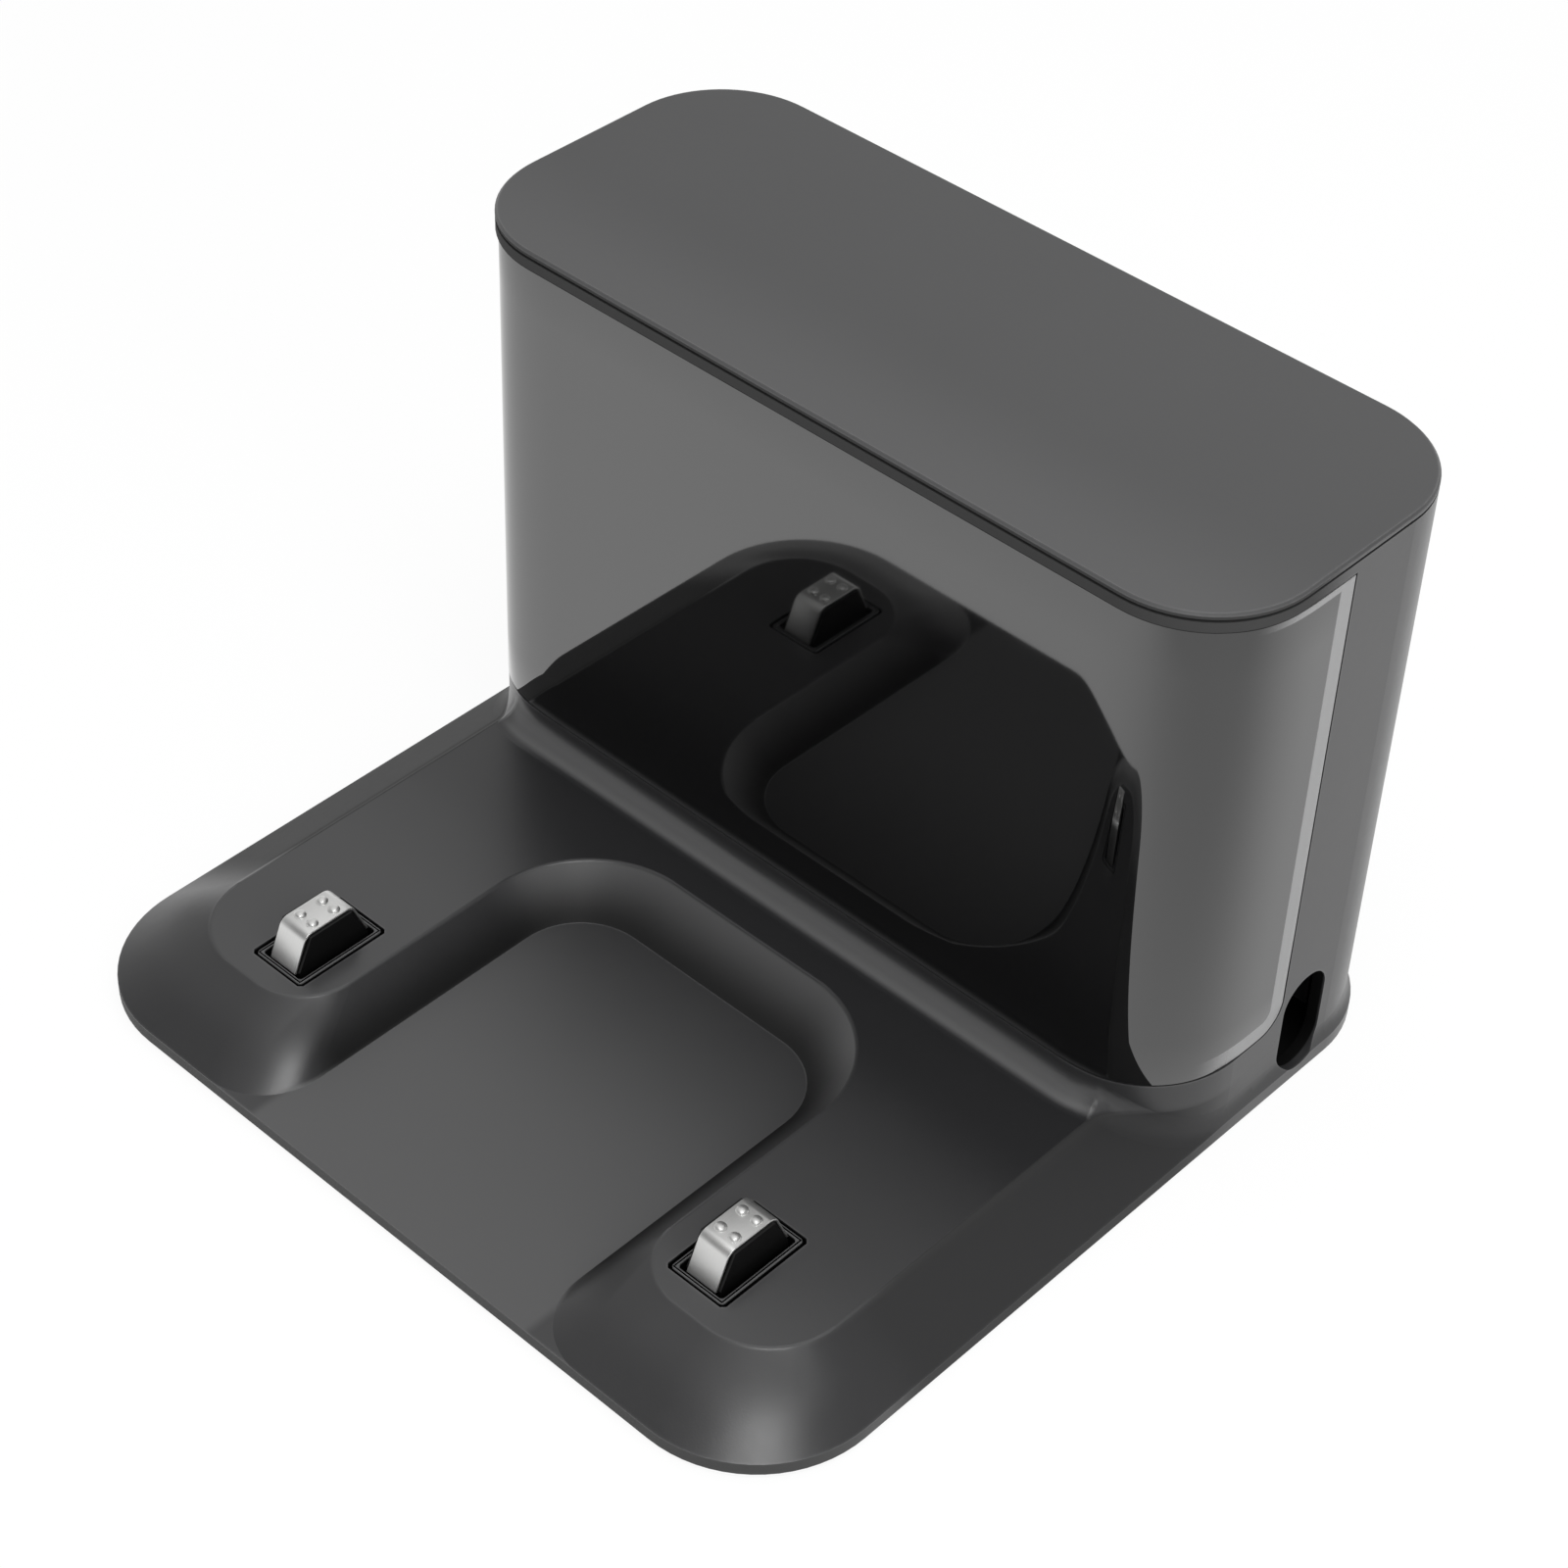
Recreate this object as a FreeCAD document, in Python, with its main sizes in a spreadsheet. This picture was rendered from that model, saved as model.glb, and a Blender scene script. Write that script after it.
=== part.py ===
import FreeCAD, Part
import math
import os
import re
import Sketcher
from FreeCAD import Vector

# Robot vacuum charging dock: a low base with a wheel recess and two sprung contacts, and a tower
# behind it that holds the power supply and the infrared beacon.
# Millimetres. X runs across the dock, Y from the front to the wall, Z up from the floor, and the
# origin is on the floor under the middle.

doc = FreeCAD.newDocument("charging_dock")
sheet = doc.addObject("Spreadsheet::Sheet", "dims")
SIZES = [
    ("base_width", "152", "moulding across its foot"),
    ("base_depth", "147", "moulding from the front to the wall"),
    ("full_height", "105", "floor to the top of the cover"),
    ("foot_proud", "0.8", "rubber feet below the moulding"),
    ("skin", "2.5", "plateau wall, measured upright"),
    ("wall", "2.2", "side and back walls of the tower"),
    ("rim_wall", "2.2", "foot rim round the bottom plate"),
    ("seat_ledge", "2.3", "ledge that the bottom plate seats on"),
    ("slip", "0.3", "clearance between fitted pieces"),
    ("front_corner", "21.4", "plan radius of the base at its front"),
    ("plateau_height", "10", "floor to the flat top of the base"),
    ("plateau_corner", "13", "plan radius of that flat top"),
    ("flank_side", "11.6", "run of the sloping flanks at the sides"),
    ("flank_front", "14.4", "run of the sloping flank at the front"),
    ("edge_round", "0.9", "soft edges of the flat top"),
    ("tower_depth", "60.4", "tower from front to back"),
    ("tower_corner", "18", "plan radius of the tower"),
    ("tower_inset", "1", "foot rim past the tower's sides and back"),
    ("foot_blend", "4.5", "hollow blend at the tower's foot"),
    ("recess_floor", "3", "floor to the floor of the wheel recess"),
    ("cheek_width", "47.7", "base between the recess floor and the side edge"),
    ("recess_reach", "67.5", "recess floor from the front edge"),
    ("recess_corner", "12", "plan radius of the recess floor"),
    ("recess_head_corner", "20", "plan radius of the recess at its top"),
    ("recess_slope", "6.7", "run of the recess's walls at the sides"),
    ("recess_end_slope", "8.5", "run of the recess's wall at its end"),
    ("mouth_round", "12", "plan radius where the recess opens at the front"),
    ("mouth_head_round", "10.5", "plan radius there at the flat top"),
    ("window_thickness", "2.2", "glossy front window"),
    ("window_wrap", "29.4", "window back along the tower's sides"),
    ("window_lift", "0.7", "window above the hollow blend"),
    ("window_band", "1.8", "band of the housing above the window"),
    ("window_edge", "0.4", "bevel on the window's outer edges"),
    ("window_corner", "5", "lower back corner of the window"),
    ("backing", "2.2", "wall behind the window"),
    ("cover_edge", "0.9", "top cover at its edge"),
    ("cover_groove", "0.5", "shadow groove under the top cover"),
    ("groove_depth", "1.2", "shadow groove inwards"),
    ("cover_rib", "2.4", "ribs inside the tower that locate the cover"),
    ("rib_wall", "1.6", "thickness of those ribs"),
    ("cover_bevel", "0.4", "bevel on the top cover's edge"),
    ("plate_thickness", "1.6", "bottom plate"),
    ("slot_width", "10.4", "cable slot in the side walls"),
    ("slot_low", "2.6", "floor to the slot's lower end"),
    ("slot_high", "21", "floor to the slot's upper end"),
    ("slot_setback", "30", "slot from the tower's front"),
    ("slot_corner", "5", "ends of the slot"),
    ("bay_top", "60", "floor to the cable bay's ceiling"),
    ("bay_jamb", "21", "back wall beside the bay's opening"),
    ("bay_opening_low", "8", "floor to that opening's sill"),
    ("bay_lintel", "4", "back wall between opening and ceiling"),
    ("bay_opening_corner", "8", "corners of that opening"),
    ("partition", "2", "inner chassis walls"),
    ("beam_width", "76", "opening for the infrared beam across"),
    ("beam_height", "26", "opening for the infrared beam upright"),
    ("beam_level", "58", "floor to the middle of the beam"),
    ("beacon_rib", "3.5", "ribs that carry the beacon board"),
    ("beacon_margin", "6", "beacon board past the opening"),
    ("boss_size", "7", "screw bosses across"),
    ("boss_bite", "0.5", "bosses sunk into the wall they grow from"),
    ("rear_boss_height", "18", "bosses in the tower's back corners"),
    ("front_boss_inset", "24", "front bosses from the side edges"),
    ("front_boss_setback", "50", "front bosses from the front edge"),
    ("foot_size", "12", "rubber feet across"),
    ("foot_inset", "17", "rubber feet from the side edges"),
    ("front_foot_setback", "22", "front feet from the front edge"),
    ("rear_foot_setback", "30", "back feet from the back edge"),
    ("contact_inset", "30.7", "contacts from the side edges"),
    ("contact_setback", "27.3", "contacts from the front edge"),
    ("frame_width", "11", "contact frames across"),
    ("frame_length", "17.3", "contact frames from front to back"),
    ("frame_corner", "0.8", "corners of the contact frames"),
    ("frame_lip", "1", "frames past their holes, under the plateau"),
    ("lip_thickness", "0.9", "that lip upright"),
    ("guide_width", "8", "opening in the frames across"),
    ("guide_length", "15.6", "opening in the frames from front to back"),
    ("carrier_width", "6.8", "contact carriers across"),
    ("flange_hold", "0.7", "carrier flange past the guide opening"),
    ("contact_height", "6.3", "contacts above the plateau"),
    ("contact_crown", "8.8", "flat top of the contacts from front to back"),
    ("contact_travel", "2.5", "contacts pressed down"),
    ("strap_width", "5.8", "contact straps across"),
    ("strap_thickness", "0.5", "contact straps, upright at the crown"),
    ("strap_side", "0.55", "contact straps, level at the slopes"),
    ("strap_round", "0.8", "bends of the contact straps"),
    ("spring_width", "4.5", "bow springs across"),
    ("spring_strip", "0.3", "bow spring strip"),
    ("spring_crown", "4", "flat crown of the bow springs"),
    ("spring_span", "13", "bow springs from foot to foot"),
    ("spring_foot", "1.6", "flat feet of the bow springs"),
    ("board_width", "104", "power board across"),
    ("board_depth", "25", "power board from front to back"),
    ("board_thickness", "1.6", "circuit boards"),
    ("board_rail", "5", "rails under the power board"),
    ("rail_width", "3", "rails from front to back"),
    ("inlet_flange", "1.8", "flange of the mains inlet"),
    ("inlet_lip", "2.4", "flange past the inlet's barrel"),
    ("inlet_width", "19", "barrel of the mains inlet across"),
    ("inlet_depth", "11", "barrel of the mains inlet front to back"),
    ("socket_width", "15.4", "plug opening across"),
    ("socket_depth", "7.4", "plug opening front to back"),
    ("socket_corner", "3.5", "plug opening's rounded ends"),
    ("socket_reach", "6.5", "plug opening upright"),
    ("pin_size", "2.4", "inlet pins across"),
    ("pin_spacing", "8.6", "inlet pins apart"),
    ("pin_back", "1", "pins back from the mouth"),
    ("core_width", "24", "transformer core across"),
    ("core_depth", "8", "transformer core front to back"),
    ("core_height", "18", "transformer core upright"),
    ("winding_width", "17", "transformer winding across"),
    ("winding_depth", "19", "transformer winding front to back"),
    ("winding_height", "13", "transformer winding upright"),
    ("transformer_shift", "16", "transformer from the middle"),
    ("bulk_size", "14", "mains capacitor across"),
    ("bulk_height", "24", "mains capacitor upright"),
    ("bulk_shift", "-16", "mains capacitor from the middle"),
    ("emitter_size", "4", "infrared emitters across"),
    ("emitter_spacing", "22", "infrared emitters apart"),
    ("aperture", "9", "openings in the beam shroud"),
]
for row, (alias, number, meaning) in enumerate(SIZES, 1):
    sheet.set(f"A{row}", meaning)
    sheet.set(f"B{row}", number)
    sheet.setAlias(f"B{row}", alias)
ruler = doc.addObject("App::FeaturePython", "ruler")
ruler.addProperty("App::PropertyFloat", "reading")
doc.recompute()
pieces = []

# Places that several pieces share, as formulas in the sheet's words.
FRONT = "(-base_depth / 2)"
BACK = "(base_depth / 2)"
SIDE = "(base_width / 2)"
RECESS_SIDE = "(base_width / 2 - cheek_width)"
TOWER_SIDE = "(base_width / 2 - tower_inset)"
TOWER_BACK = "(base_depth / 2 - tower_inset)"
TOWER_FRONT = "(base_depth / 2 - tower_inset - tower_depth)"
REAR_CORNER = "(tower_corner + tower_inset)"
SEAM = f"({TOWER_FRONT} + window_wrap)"
WALL_TOP = "(full_height - cover_edge - cover_groove)"
SKIN_UNDER = "(plateau_height - skin)"
PLATE_TOP = "(foot_proud + plate_thickness)"
WINDOW_LOW = "(plateau_height + foot_blend + window_lift)"
WINDOW_HIGH = f"({WALL_TOP} - window_band)"
SEAT_DEPTH = "(window_thickness + slip)"
FRONT_WALL = f"({SEAT_DEPTH} + backing)"
BAY_FRONT = f"({TOWER_FRONT} + slot_setback - slip)"
BOARD_LOW = "(bay_top + partition + board_rail)"
BOARD_TOP = f"({BOARD_LOW} + board_thickness)"
BOARD_MIDDLE = f"(({BAY_FRONT} + {TOWER_BACK} - wall) / 2)"
BEACON_FACE = f"({TOWER_FRONT} + {FRONT_WALL} + beacon_rib)"


def formula(words):
    """Point each word of a formula at its cell in the sheet."""
    return re.sub(r"\b[a-z][a-z_]*\b(?!\()", r"dims.\g<0>", words)


def bind(item, field, words):
    item.setExpression(field, formula(words))


def measure(words):
    """Read a formula as a number."""
    bind(ruler, "reading", words)
    ruler.recompute()
    return ruler.reading


def new_body(label):
    body = doc.addObject("PartDesign::Body", label)
    body.Label = label
    pieces.append(body)
    return body


def pin_down(sketch, line, point, spot, across, along):
    """Tie one end of a line to its formulas, measured from the sketch's origin."""
    for kind, words, value in (("DistanceX", across, spot.x), ("DistanceY", along, spot.y)):
        number = sketch.addConstraint(Sketcher.Constraint(kind, -1, 1, line, point, value))
        bind(sketch, f"Constraints[{number}]", words)


def draw_circle(sketch, across, along, size):
    middle = Vector(measure(across), measure(along))
    radius = measure(size) / 2
    ring = sketch.addGeometry(Part.Circle(middle, Vector(0, 0, 1), radius), False)
    pin_down(sketch, ring, 3, middle, across, along)
    number = sketch.addConstraint(Sketcher.Constraint("Radius", ring, radius))
    bind(sketch, f"Constraints[{number}]", f"({size}) / 2")


def corner_ends(corners):
    """Where each corner's rounding starts and ends, as points with their formulas."""
    spots = [Vector(measure(corner[0]), measure(corner[1])) for corner in corners]
    turns = []
    for index, (across, along, *rounding) in enumerate(corners):
        spot = spots[index]
        if not rounding:
            turns.append({"start": (spot, across, along), "end": (spot, across, along), "radius": None})
            continue
        arrive = (spot - spots[index - 1]).normalize()
        leave = (spots[(index + 1) % len(corners)] - spot).normalize()
        radius = rounding[0]
        reach = measure(radius)
        turns.append({
            "start": (spot - arrive * reach, f"{across} - ({arrive.x:.0f}) * ({radius})",
                      f"{along} - ({arrive.y:.0f}) * ({radius})"),
            "end": (spot + leave * reach, f"{across} + ({leave.x:.0f}) * ({radius})",
                    f"{along} + ({leave.y:.0f}) * ({radius})"),
            "radius": radius,
            "centre": spot - arrive * reach + leave * reach,
            "left": arrive.cross(leave).z > 0,
        })
    return turns


def cut_straight(corners):
    """The same outline with straight cuts that touch the roundings of its corners, for hidden faces."""
    shorter = [(across, along, f"({radius}) * (2 - sqrt(2))") for across, along, radius in corners]
    return [turn[end][1:] for turn in corner_ends(shorter) for end in ("start", "end")]


def draw_outline(sketch, corners):
    """Draw a closed outline. A corner is two formulas, or three with a radius between square sides."""
    turns = corner_ends(corners)
    lines = []
    for index, turn in enumerate(turns):
        begin = turn["end"]
        finish = turns[(index + 1) % len(turns)]["start"]
        line = sketch.addGeometry(Part.LineSegment(begin[0], finish[0]), False)
        lines.append(line)
        if turn["radius"]:
            pin_down(sketch, line, 1, *begin)
        pin_down(sketch, line, 2, *finish)
    for index, turn in enumerate(turns):
        before = lines[index - 1]
        after = lines[index]
        if not turn["radius"]:
            sketch.addConstraint(Sketcher.Constraint("Coincident", before, 2, after, 1))
            continue
        ends = [turn["start"][0] - turn["centre"], turn["end"][0] - turn["centre"]]
        first, last = ends if turn["left"] else reversed(ends)
        angle = math.atan2(first.y, first.x)
        sweep = (math.atan2(last.y, last.x) - angle) % (2 * math.pi)
        circle = Part.Circle(turn["centre"], Vector(0, 0, 1), first.Length)
        arc = sketch.addGeometry(Part.ArcOfCircle(circle, angle, angle + sweep), False)
        sketch.addConstraint(Sketcher.Constraint("Coincident", before, 2, arc, 1 if turn["left"] else 2))
        sketch.addConstraint(Sketcher.Constraint("Coincident", after, 1, arc, 2 if turn["left"] else 1))
        number = sketch.addConstraint(Sketcher.Constraint("Radius", arc, first.Length))
        bind(sketch, f"Constraints[{number}]", turn["radius"])


def draw(body, name, plane, level, *loops):
    """Make a sketch parallel to one of the body's planes. A loop is a list of corners or a circle."""
    sketch = body.newObject("Sketcher::SketchObject", name)
    support = [face for face in body.Origin.OriginFeatures if face.Role == plane][0]
    sketch.AttachmentSupport = [(support, "")]
    sketch.MapMode = "FlatFace"
    bind(sketch, "AttachmentOffset.Base.z", level)
    for loop in loops:
        if isinstance(loop, tuple):
            draw_circle(sketch, *loop)
        else:
            draw_outline(sketch, loop)
    return sketch


def prism(body, name, low, high, *loops, plane="XY_Plane", cut=False):
    """Add or cut the loops between two levels across a plane."""
    level = high if cut else low
    if plane == "XZ_Plane":
        level = f"-({low})" if cut else f"-({high})"
    feature = body.newObject("PartDesign::Pocket" if cut else "PartDesign::Pad", name)
    feature.Profile = draw(body, name + "_outline", plane, level, *loops)
    bind(feature, "Length", f"({high}) - ({low})")
    return feature


def loft(body, name, kind, low, low_loop, high, high_loop):
    feature = body.newObject(kind, name)
    feature.Profile = draw(body, name + "_foot", "XY_Plane", low, low_loop)
    feature.Sections = [draw(body, name + "_head", "XY_Plane", high, high_loop)]
    feature.Ruled = True
    return feature


def ease_edges(body, name, kind, feature, size, wanted):
    """Round or bevel the edges of a feature that a test picks out."""
    doc.recompute()
    names = [f"Edge{index}" for index, edge in enumerate(feature.Shape.Edges, 1) if wanted(edge)]
    eased = body.newObject("PartDesign::" + kind, name)
    eased.Base = (feature, names)
    bind(eased, "Radius" if kind == "Fillet" else "Size", size)
    return eased


def spots_along(edge):
    first, last = edge.ParameterRange
    return [edge.valueAt(first + (last - first) * share) for share in (0, 0.3, 0.7, 1)]


def rectangle(left, right, low, high, low_radius=None, high_radius=None):
    lows = (low_radius,) if low_radius else ()
    highs = (high_radius,) if high_radius else ()
    return [(left, low, *lows), (right, low, *lows), (right, high, *highs), (left, high, *highs)]


def centred(across, along, width, depth, radius=None):
    return rectangle(f"{across} - {width} / 2", f"{across} + {width} / 2",
                     f"{along} - {depth} / 2", f"{along} + {depth} / 2", radius, radius)


def tower_loop(inset):
    """The tower's outline, moved inwards."""
    radius = f"(tower_corner - {inset})"
    return rectangle(f"-{TOWER_SIDE} + {inset}", f"{TOWER_SIDE} - {inset}",
                     f"{TOWER_FRONT} + {inset}", f"{TOWER_BACK} - {inset}", radius, radius)


def cheek_loop(side, front, back, notch, reach, radii):
    """The base's outline with the wheel recess let in: two cheeks joined at the back."""
    corner, rear, notch_corner, mouth = radii
    return [(f"-({side})", front, corner), (f"-({notch})", front, mouth),
            (f"-({notch})", reach, notch_corner), (notch, reach, notch_corner), (notch, front, mouth),
            (side, front, corner), (side, back, rear), (f"-({side})", back, rear)]


def cheek_foot(inset):
    """The cheeks where they meet the floor of the recess, moved inwards."""
    return cheek_loop(f"{SIDE} - {inset}", f"{FRONT} + {inset}", f"{BACK} - {inset}",
                      f"{RECESS_SIDE} + {inset}", f"{FRONT} + recess_reach + {inset}",
                      (f"(front_corner - {inset})", f"({REAR_CORNER} - {inset})",
                       f"(recess_corner + {inset})", f"(mouth_round - {inset})"))


def cheek_head(widen):
    """The flat top of the cheeks, with the recess widened."""
    return cheek_loop(f"{SIDE} - flank_side", f"{FRONT} + flank_front", f"{BACK} - flank_side",
                      f"{RECESS_SIDE} + recess_slope + {widen}",
                      f"{FRONT} + recess_reach + recess_end_slope + {widen}",
                      ("plateau_corner", f"({REAR_CORNER} - flank_side)",
                       f"(recess_head_corner + {widen})", f"(mouth_head_round - {widen})"))


def cheek_skirt():
    """The sloping sides of the cheeks carried on past the rim, down to the underside."""
    past = "((recess_floor - foot_proud) / (plateau_height - recess_floor))"
    return cheek_loop(f"{SIDE} + flank_side * {past}", f"{FRONT} - flank_front * {past}",
                      f"{BACK} + flank_side * {past}", f"{RECESS_SIDE} - recess_slope * {past}",
                      f"{FRONT} + recess_reach - recess_end_slope * {past}",
                      (f"(front_corner + (front_corner - plateau_corner) * {past})",
                       f"({REAR_CORNER} + flank_side * {past})",
                       f"(recess_corner - (recess_head_corner - recess_corner) * {past})",
                       f"(mouth_round + (mouth_round - mouth_head_round) * {past})"))


def rod(name, across, along, low, high, size):
    """An upright round bar."""
    bar = doc.addObject("Part::Cylinder", name)
    bind(bar, "Radius", f"({size}) / 2")
    bind(bar, "Height", f"({high}) - ({low})")
    for field, words in zip("xyz", (across, along, low)):
        bind(bar, f"Placement.Base.{field}", words)
    return bar


def group(label, members):
    """One piece made of separate like solids."""
    cluster = doc.addObject("Part::Compound", label)
    cluster.Label = label
    cluster.Links = members
    pieces.append(cluster)


def block(name, low_corner, high_corner):
    """A plain block between two opposite corners."""
    slab = doc.addObject("Part::Box", name)
    for field, axis, low, high in zip(("Length", "Width", "Height"), "xyz", low_corner, high_corner):
        bind(slab, field, f"({high}) - ({low})")
        bind(slab, f"Placement.Base.{axis}", low)
    return slab


def board(label, low_corner, high_corner):
    """A plain circuit board."""
    slab = block(label, low_corner, high_corner)
    slab.Label = label
    pieces.append(slab)


def off_tower(spot):
    """How far a point lies outside the tower's outline."""
    corner = measure("tower_corner")
    middle = measure(f"{TOWER_BACK} - tower_depth / 2")
    across = abs(spot.x) - measure(f"{TOWER_SIDE} - tower_corner")
    along = abs(spot.y - middle) - measure("tower_depth / 2 - tower_corner")
    if across > 0 and along > 0:
        return math.hypot(across, along) - corner
    return max(across, along) - corner


# Main housing: one moulding, base and tower together.
housing = new_body("main_housing")
base_loop = rectangle(f"-{SIDE}", SIDE, FRONT, BACK, "front_corner", REAR_CORNER)
prism(housing, "rim_slab", "foot_proud", "recess_floor", base_loop)
cheeks = loft(housing, "cheeks", "PartDesign::AdditiveLoft", "foot_proud", cheek_skirt(),
              "plateau_height", cheek_head("0"))
plateau_level = measure("plateau_height")
ease_edges(housing, "plateau_edges", "Fillet", cheeks, "edge_round",
            lambda edge: all(abs(spot.z - plateau_level) < 0.001 for spot in spots_along(edge)))
tower = prism(housing, "tower", "foot_proud", WALL_TOP, tower_loop("0"))
underside = measure("foot_proud")
ease_edges(housing, "tower_foot", "Fillet", tower, "foot_blend",
            lambda edge: all(abs(off_tower(spot)) < 0.01 and underside + 0.1 < spot.z < plateau_level + 0.1
                             for spot in spots_along(edge)))
around = rectangle("-base_width", "base_width", "-base_depth", "base_depth")
prism(housing, "rim_trim", "0", "plateau_height + foot_blend * 2", around, base_loop, cut=True)

# Its hollow: the plate's seat, the space under the plateau and the inside of the tower.
prism(housing, "plate_seat", "foot_proud", PLATE_TOP, cheek_foot("rim_wall"), cut=True)
loft(housing, "plateau_hollow", "PartDesign::SubtractiveLoft", PLATE_TOP,
     cut_straight(cheek_foot("(rim_wall + seat_ledge)")), SKIN_UNDER, cut_straight(cheek_head("skin / 3")))
inner_front = rectangle(f"-{TOWER_SIDE} + {FRONT_WALL}", f"{TOWER_SIDE} - {FRONT_WALL}",
                        f"{TOWER_FRONT} + {FRONT_WALL}", f"{SEAM} + wall", f"(tower_corner - {FRONT_WALL})")
prism(housing, "tower_hollow_front", "0", WALL_TOP, inner_front, cut=True)
inner_back = rectangle(f"-{TOWER_SIDE} + wall", f"{TOWER_SIDE} - wall", f"{SEAM} + wall",
                       f"{TOWER_BACK} - wall", None, "(tower_corner - wall)")
prism(housing, "tower_hollow_back", "0", WALL_TOP, inner_back, cut=True)

# Its openings: the window's seat, the beam opening, the cable slots, the bay's opening and the holes for
# the contacts.
seat_side = f"({TOWER_SIDE} - {SEAT_DEPTH})"
seat_front = f"({TOWER_FRONT} + {SEAT_DEPTH})"
seat_corner = f"(tower_corner - {SEAT_DEPTH})"
seat_loop = [("-base_width", SEAM), ("-base_width", f"{TOWER_FRONT} - window_wrap"),
             ("base_width", f"{TOWER_FRONT} - window_wrap"), ("base_width", SEAM),
             (seat_side, SEAM), (seat_side, seat_front, seat_corner),
             (f"-{seat_side}", seat_front, seat_corner), (f"-{seat_side}", SEAM)]
window_seat = prism(housing, "window_seat", WINDOW_LOW, WINDOW_HIGH, seat_loop, cut=True)
seam_place = measure(SEAM)
window_foot = measure(WINDOW_LOW)
ease_edges(housing, "window_seat_corners", "Fillet", window_seat, "window_corner",
            lambda edge: all(abs(spot.y - seam_place) < 0.001 and abs(spot.z - window_foot) < 0.001
                             for spot in spots_along(edge)))
prism(housing, "beam_opening", TOWER_FRONT, f"{TOWER_FRONT} + {FRONT_WALL} + slip",
      centred("0", "beam_level", "beam_width", "beam_height"), plane="XZ_Plane", cut=True)
slot_loop = rectangle(f"{TOWER_FRONT} + slot_setback", f"{TOWER_FRONT} + slot_setback + slot_width",
                      "slot_low", "slot_high", "slot_corner", "slot_corner")
prism(housing, "cable_slots", f"-{SIDE}", SIDE, slot_loop, plane="YZ_Plane", cut=True)
bay_loop = rectangle(f"bay_jamb - {TOWER_SIDE}", f"{TOWER_SIDE} - bay_jamb", "bay_opening_low",
                     "bay_top - bay_lintel", "bay_opening_corner", "bay_opening_corner")
prism(housing, "bay_opening", f"{TOWER_BACK} - wall - slip", BACK, bay_loop, plane="XZ_Plane", cut=True)
contact_places = {"left": f"(contact_inset - {SIDE})", "right": f"({SIDE} - contact_inset)"}
CONTACT_MIDDLE = f"({FRONT} + contact_setback)"
prism(housing, "contact_holes", SKIN_UNDER, "plateau_height + slip",
      *[cut_straight(centred(place, CONTACT_MIDDLE, "(frame_width + slip * 2)", "(frame_length + slip * 2)",
                             "(frame_corner + slip)"))
        for place in contact_places.values()], cut=True)

# Its screw bosses, two under the plateau and two in the tower's back corners, and the beacon board's ribs.
corner_lean = "((tower_corner - wall - boss_size * sqrt(0.5) + boss_bite) * sqrt(0.5))"
rear_boss_x = f"({TOWER_SIDE} - tower_corner + {corner_lean})"
rear_boss_y = f"({TOWER_BACK} - tower_corner + {corner_lean})"
front_boss_y = f"({FRONT} + front_boss_setback)"
front_boss_x = f"({SIDE} - front_boss_inset)"
front_bosses = [(f"-{front_boss_x}", front_boss_y), (front_boss_x, front_boss_y)]
rear_bosses = [(f"-{rear_boss_x}", rear_boss_y), (rear_boss_x, rear_boss_y)]
prism(housing, "front_bosses", PLATE_TOP, f"{SKIN_UNDER} + boss_bite",
      *[centred(*place, "boss_size", "boss_size") for place in front_bosses])
prism(housing, "rear_bosses", PLATE_TOP, f"{PLATE_TOP} + rear_boss_height",
      *[centred(*place, "boss_size", "boss_size") for place in rear_bosses])
half_beacon = "(beam_width / 2 + beacon_margin)"
half_upright = "(beam_height / 2 + beacon_margin)"
prism(housing, "beacon_ribs", f"{TOWER_FRONT} + {FRONT_WALL} - boss_bite", BEACON_FACE,
      rectangle(f"-{half_beacon}", half_beacon, f"beam_level - {half_upright}",
                f"beam_level - {half_upright} + backing"),
      rectangle(f"-{half_beacon}", half_beacon, f"beam_level + {half_upright} - backing",
                f"beam_level + {half_upright}"), plane="XZ_Plane")

# Front window: a glossy shell that wraps the tower's front and both front corners.
window = new_body("front_window")
window_end = f"{SEAM} - slip"
window_loop = [(f"-{TOWER_SIDE}", window_end), (f"-{TOWER_SIDE}", TOWER_FRONT, "tower_corner"),
               (TOWER_SIDE, TOWER_FRONT, "tower_corner"), (TOWER_SIDE, window_end),
               (f"{TOWER_SIDE} - window_thickness", window_end),
               (f"{TOWER_SIDE} - window_thickness", f"{TOWER_FRONT} + window_thickness",
                "(tower_corner - window_thickness)"),
               (f"-{TOWER_SIDE} + window_thickness", f"{TOWER_FRONT} + window_thickness",
                "(tower_corner - window_thickness)"),
               (f"-{TOWER_SIDE} + window_thickness", window_end)]
shell = prism(window, "window_shell", f"{WINDOW_LOW} + slip", f"{WINDOW_HIGH} - slip", window_loop)
shell_end = measure(window_end)
shell_foot = measure(f"{WINDOW_LOW} + slip")
corners = ease_edges(window, "window_corners", "Fillet", shell, "window_corner",
                      lambda edge: all(abs(spot.y - shell_end) < 0.001 and abs(spot.z - shell_foot) < 0.001
                                       for spot in spots_along(edge)))
shell_top = measure(f"{WINDOW_HIGH} - slip")
soft_span = measure("window_corner")


def on_window_rim(edge):
    """The outer border of the window: its top, its seams, its lower corners and its foot."""
    for spot in spots_along(edge):
        into_corner = spot.y > shell_end - soft_span - 0.001 and spot.z < shell_foot + soft_span + 0.001
        at_border = spot.z > shell_top - 0.001 or spot.z < shell_foot + 0.001 or spot.y > shell_end - 0.001
        if abs(off_tower(spot)) > 0.001 or not (into_corner or at_border):
            return False
    return True


ease_edges(window, "window_edges", "Chamfer", corners, "window_edge", on_window_rim)

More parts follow.
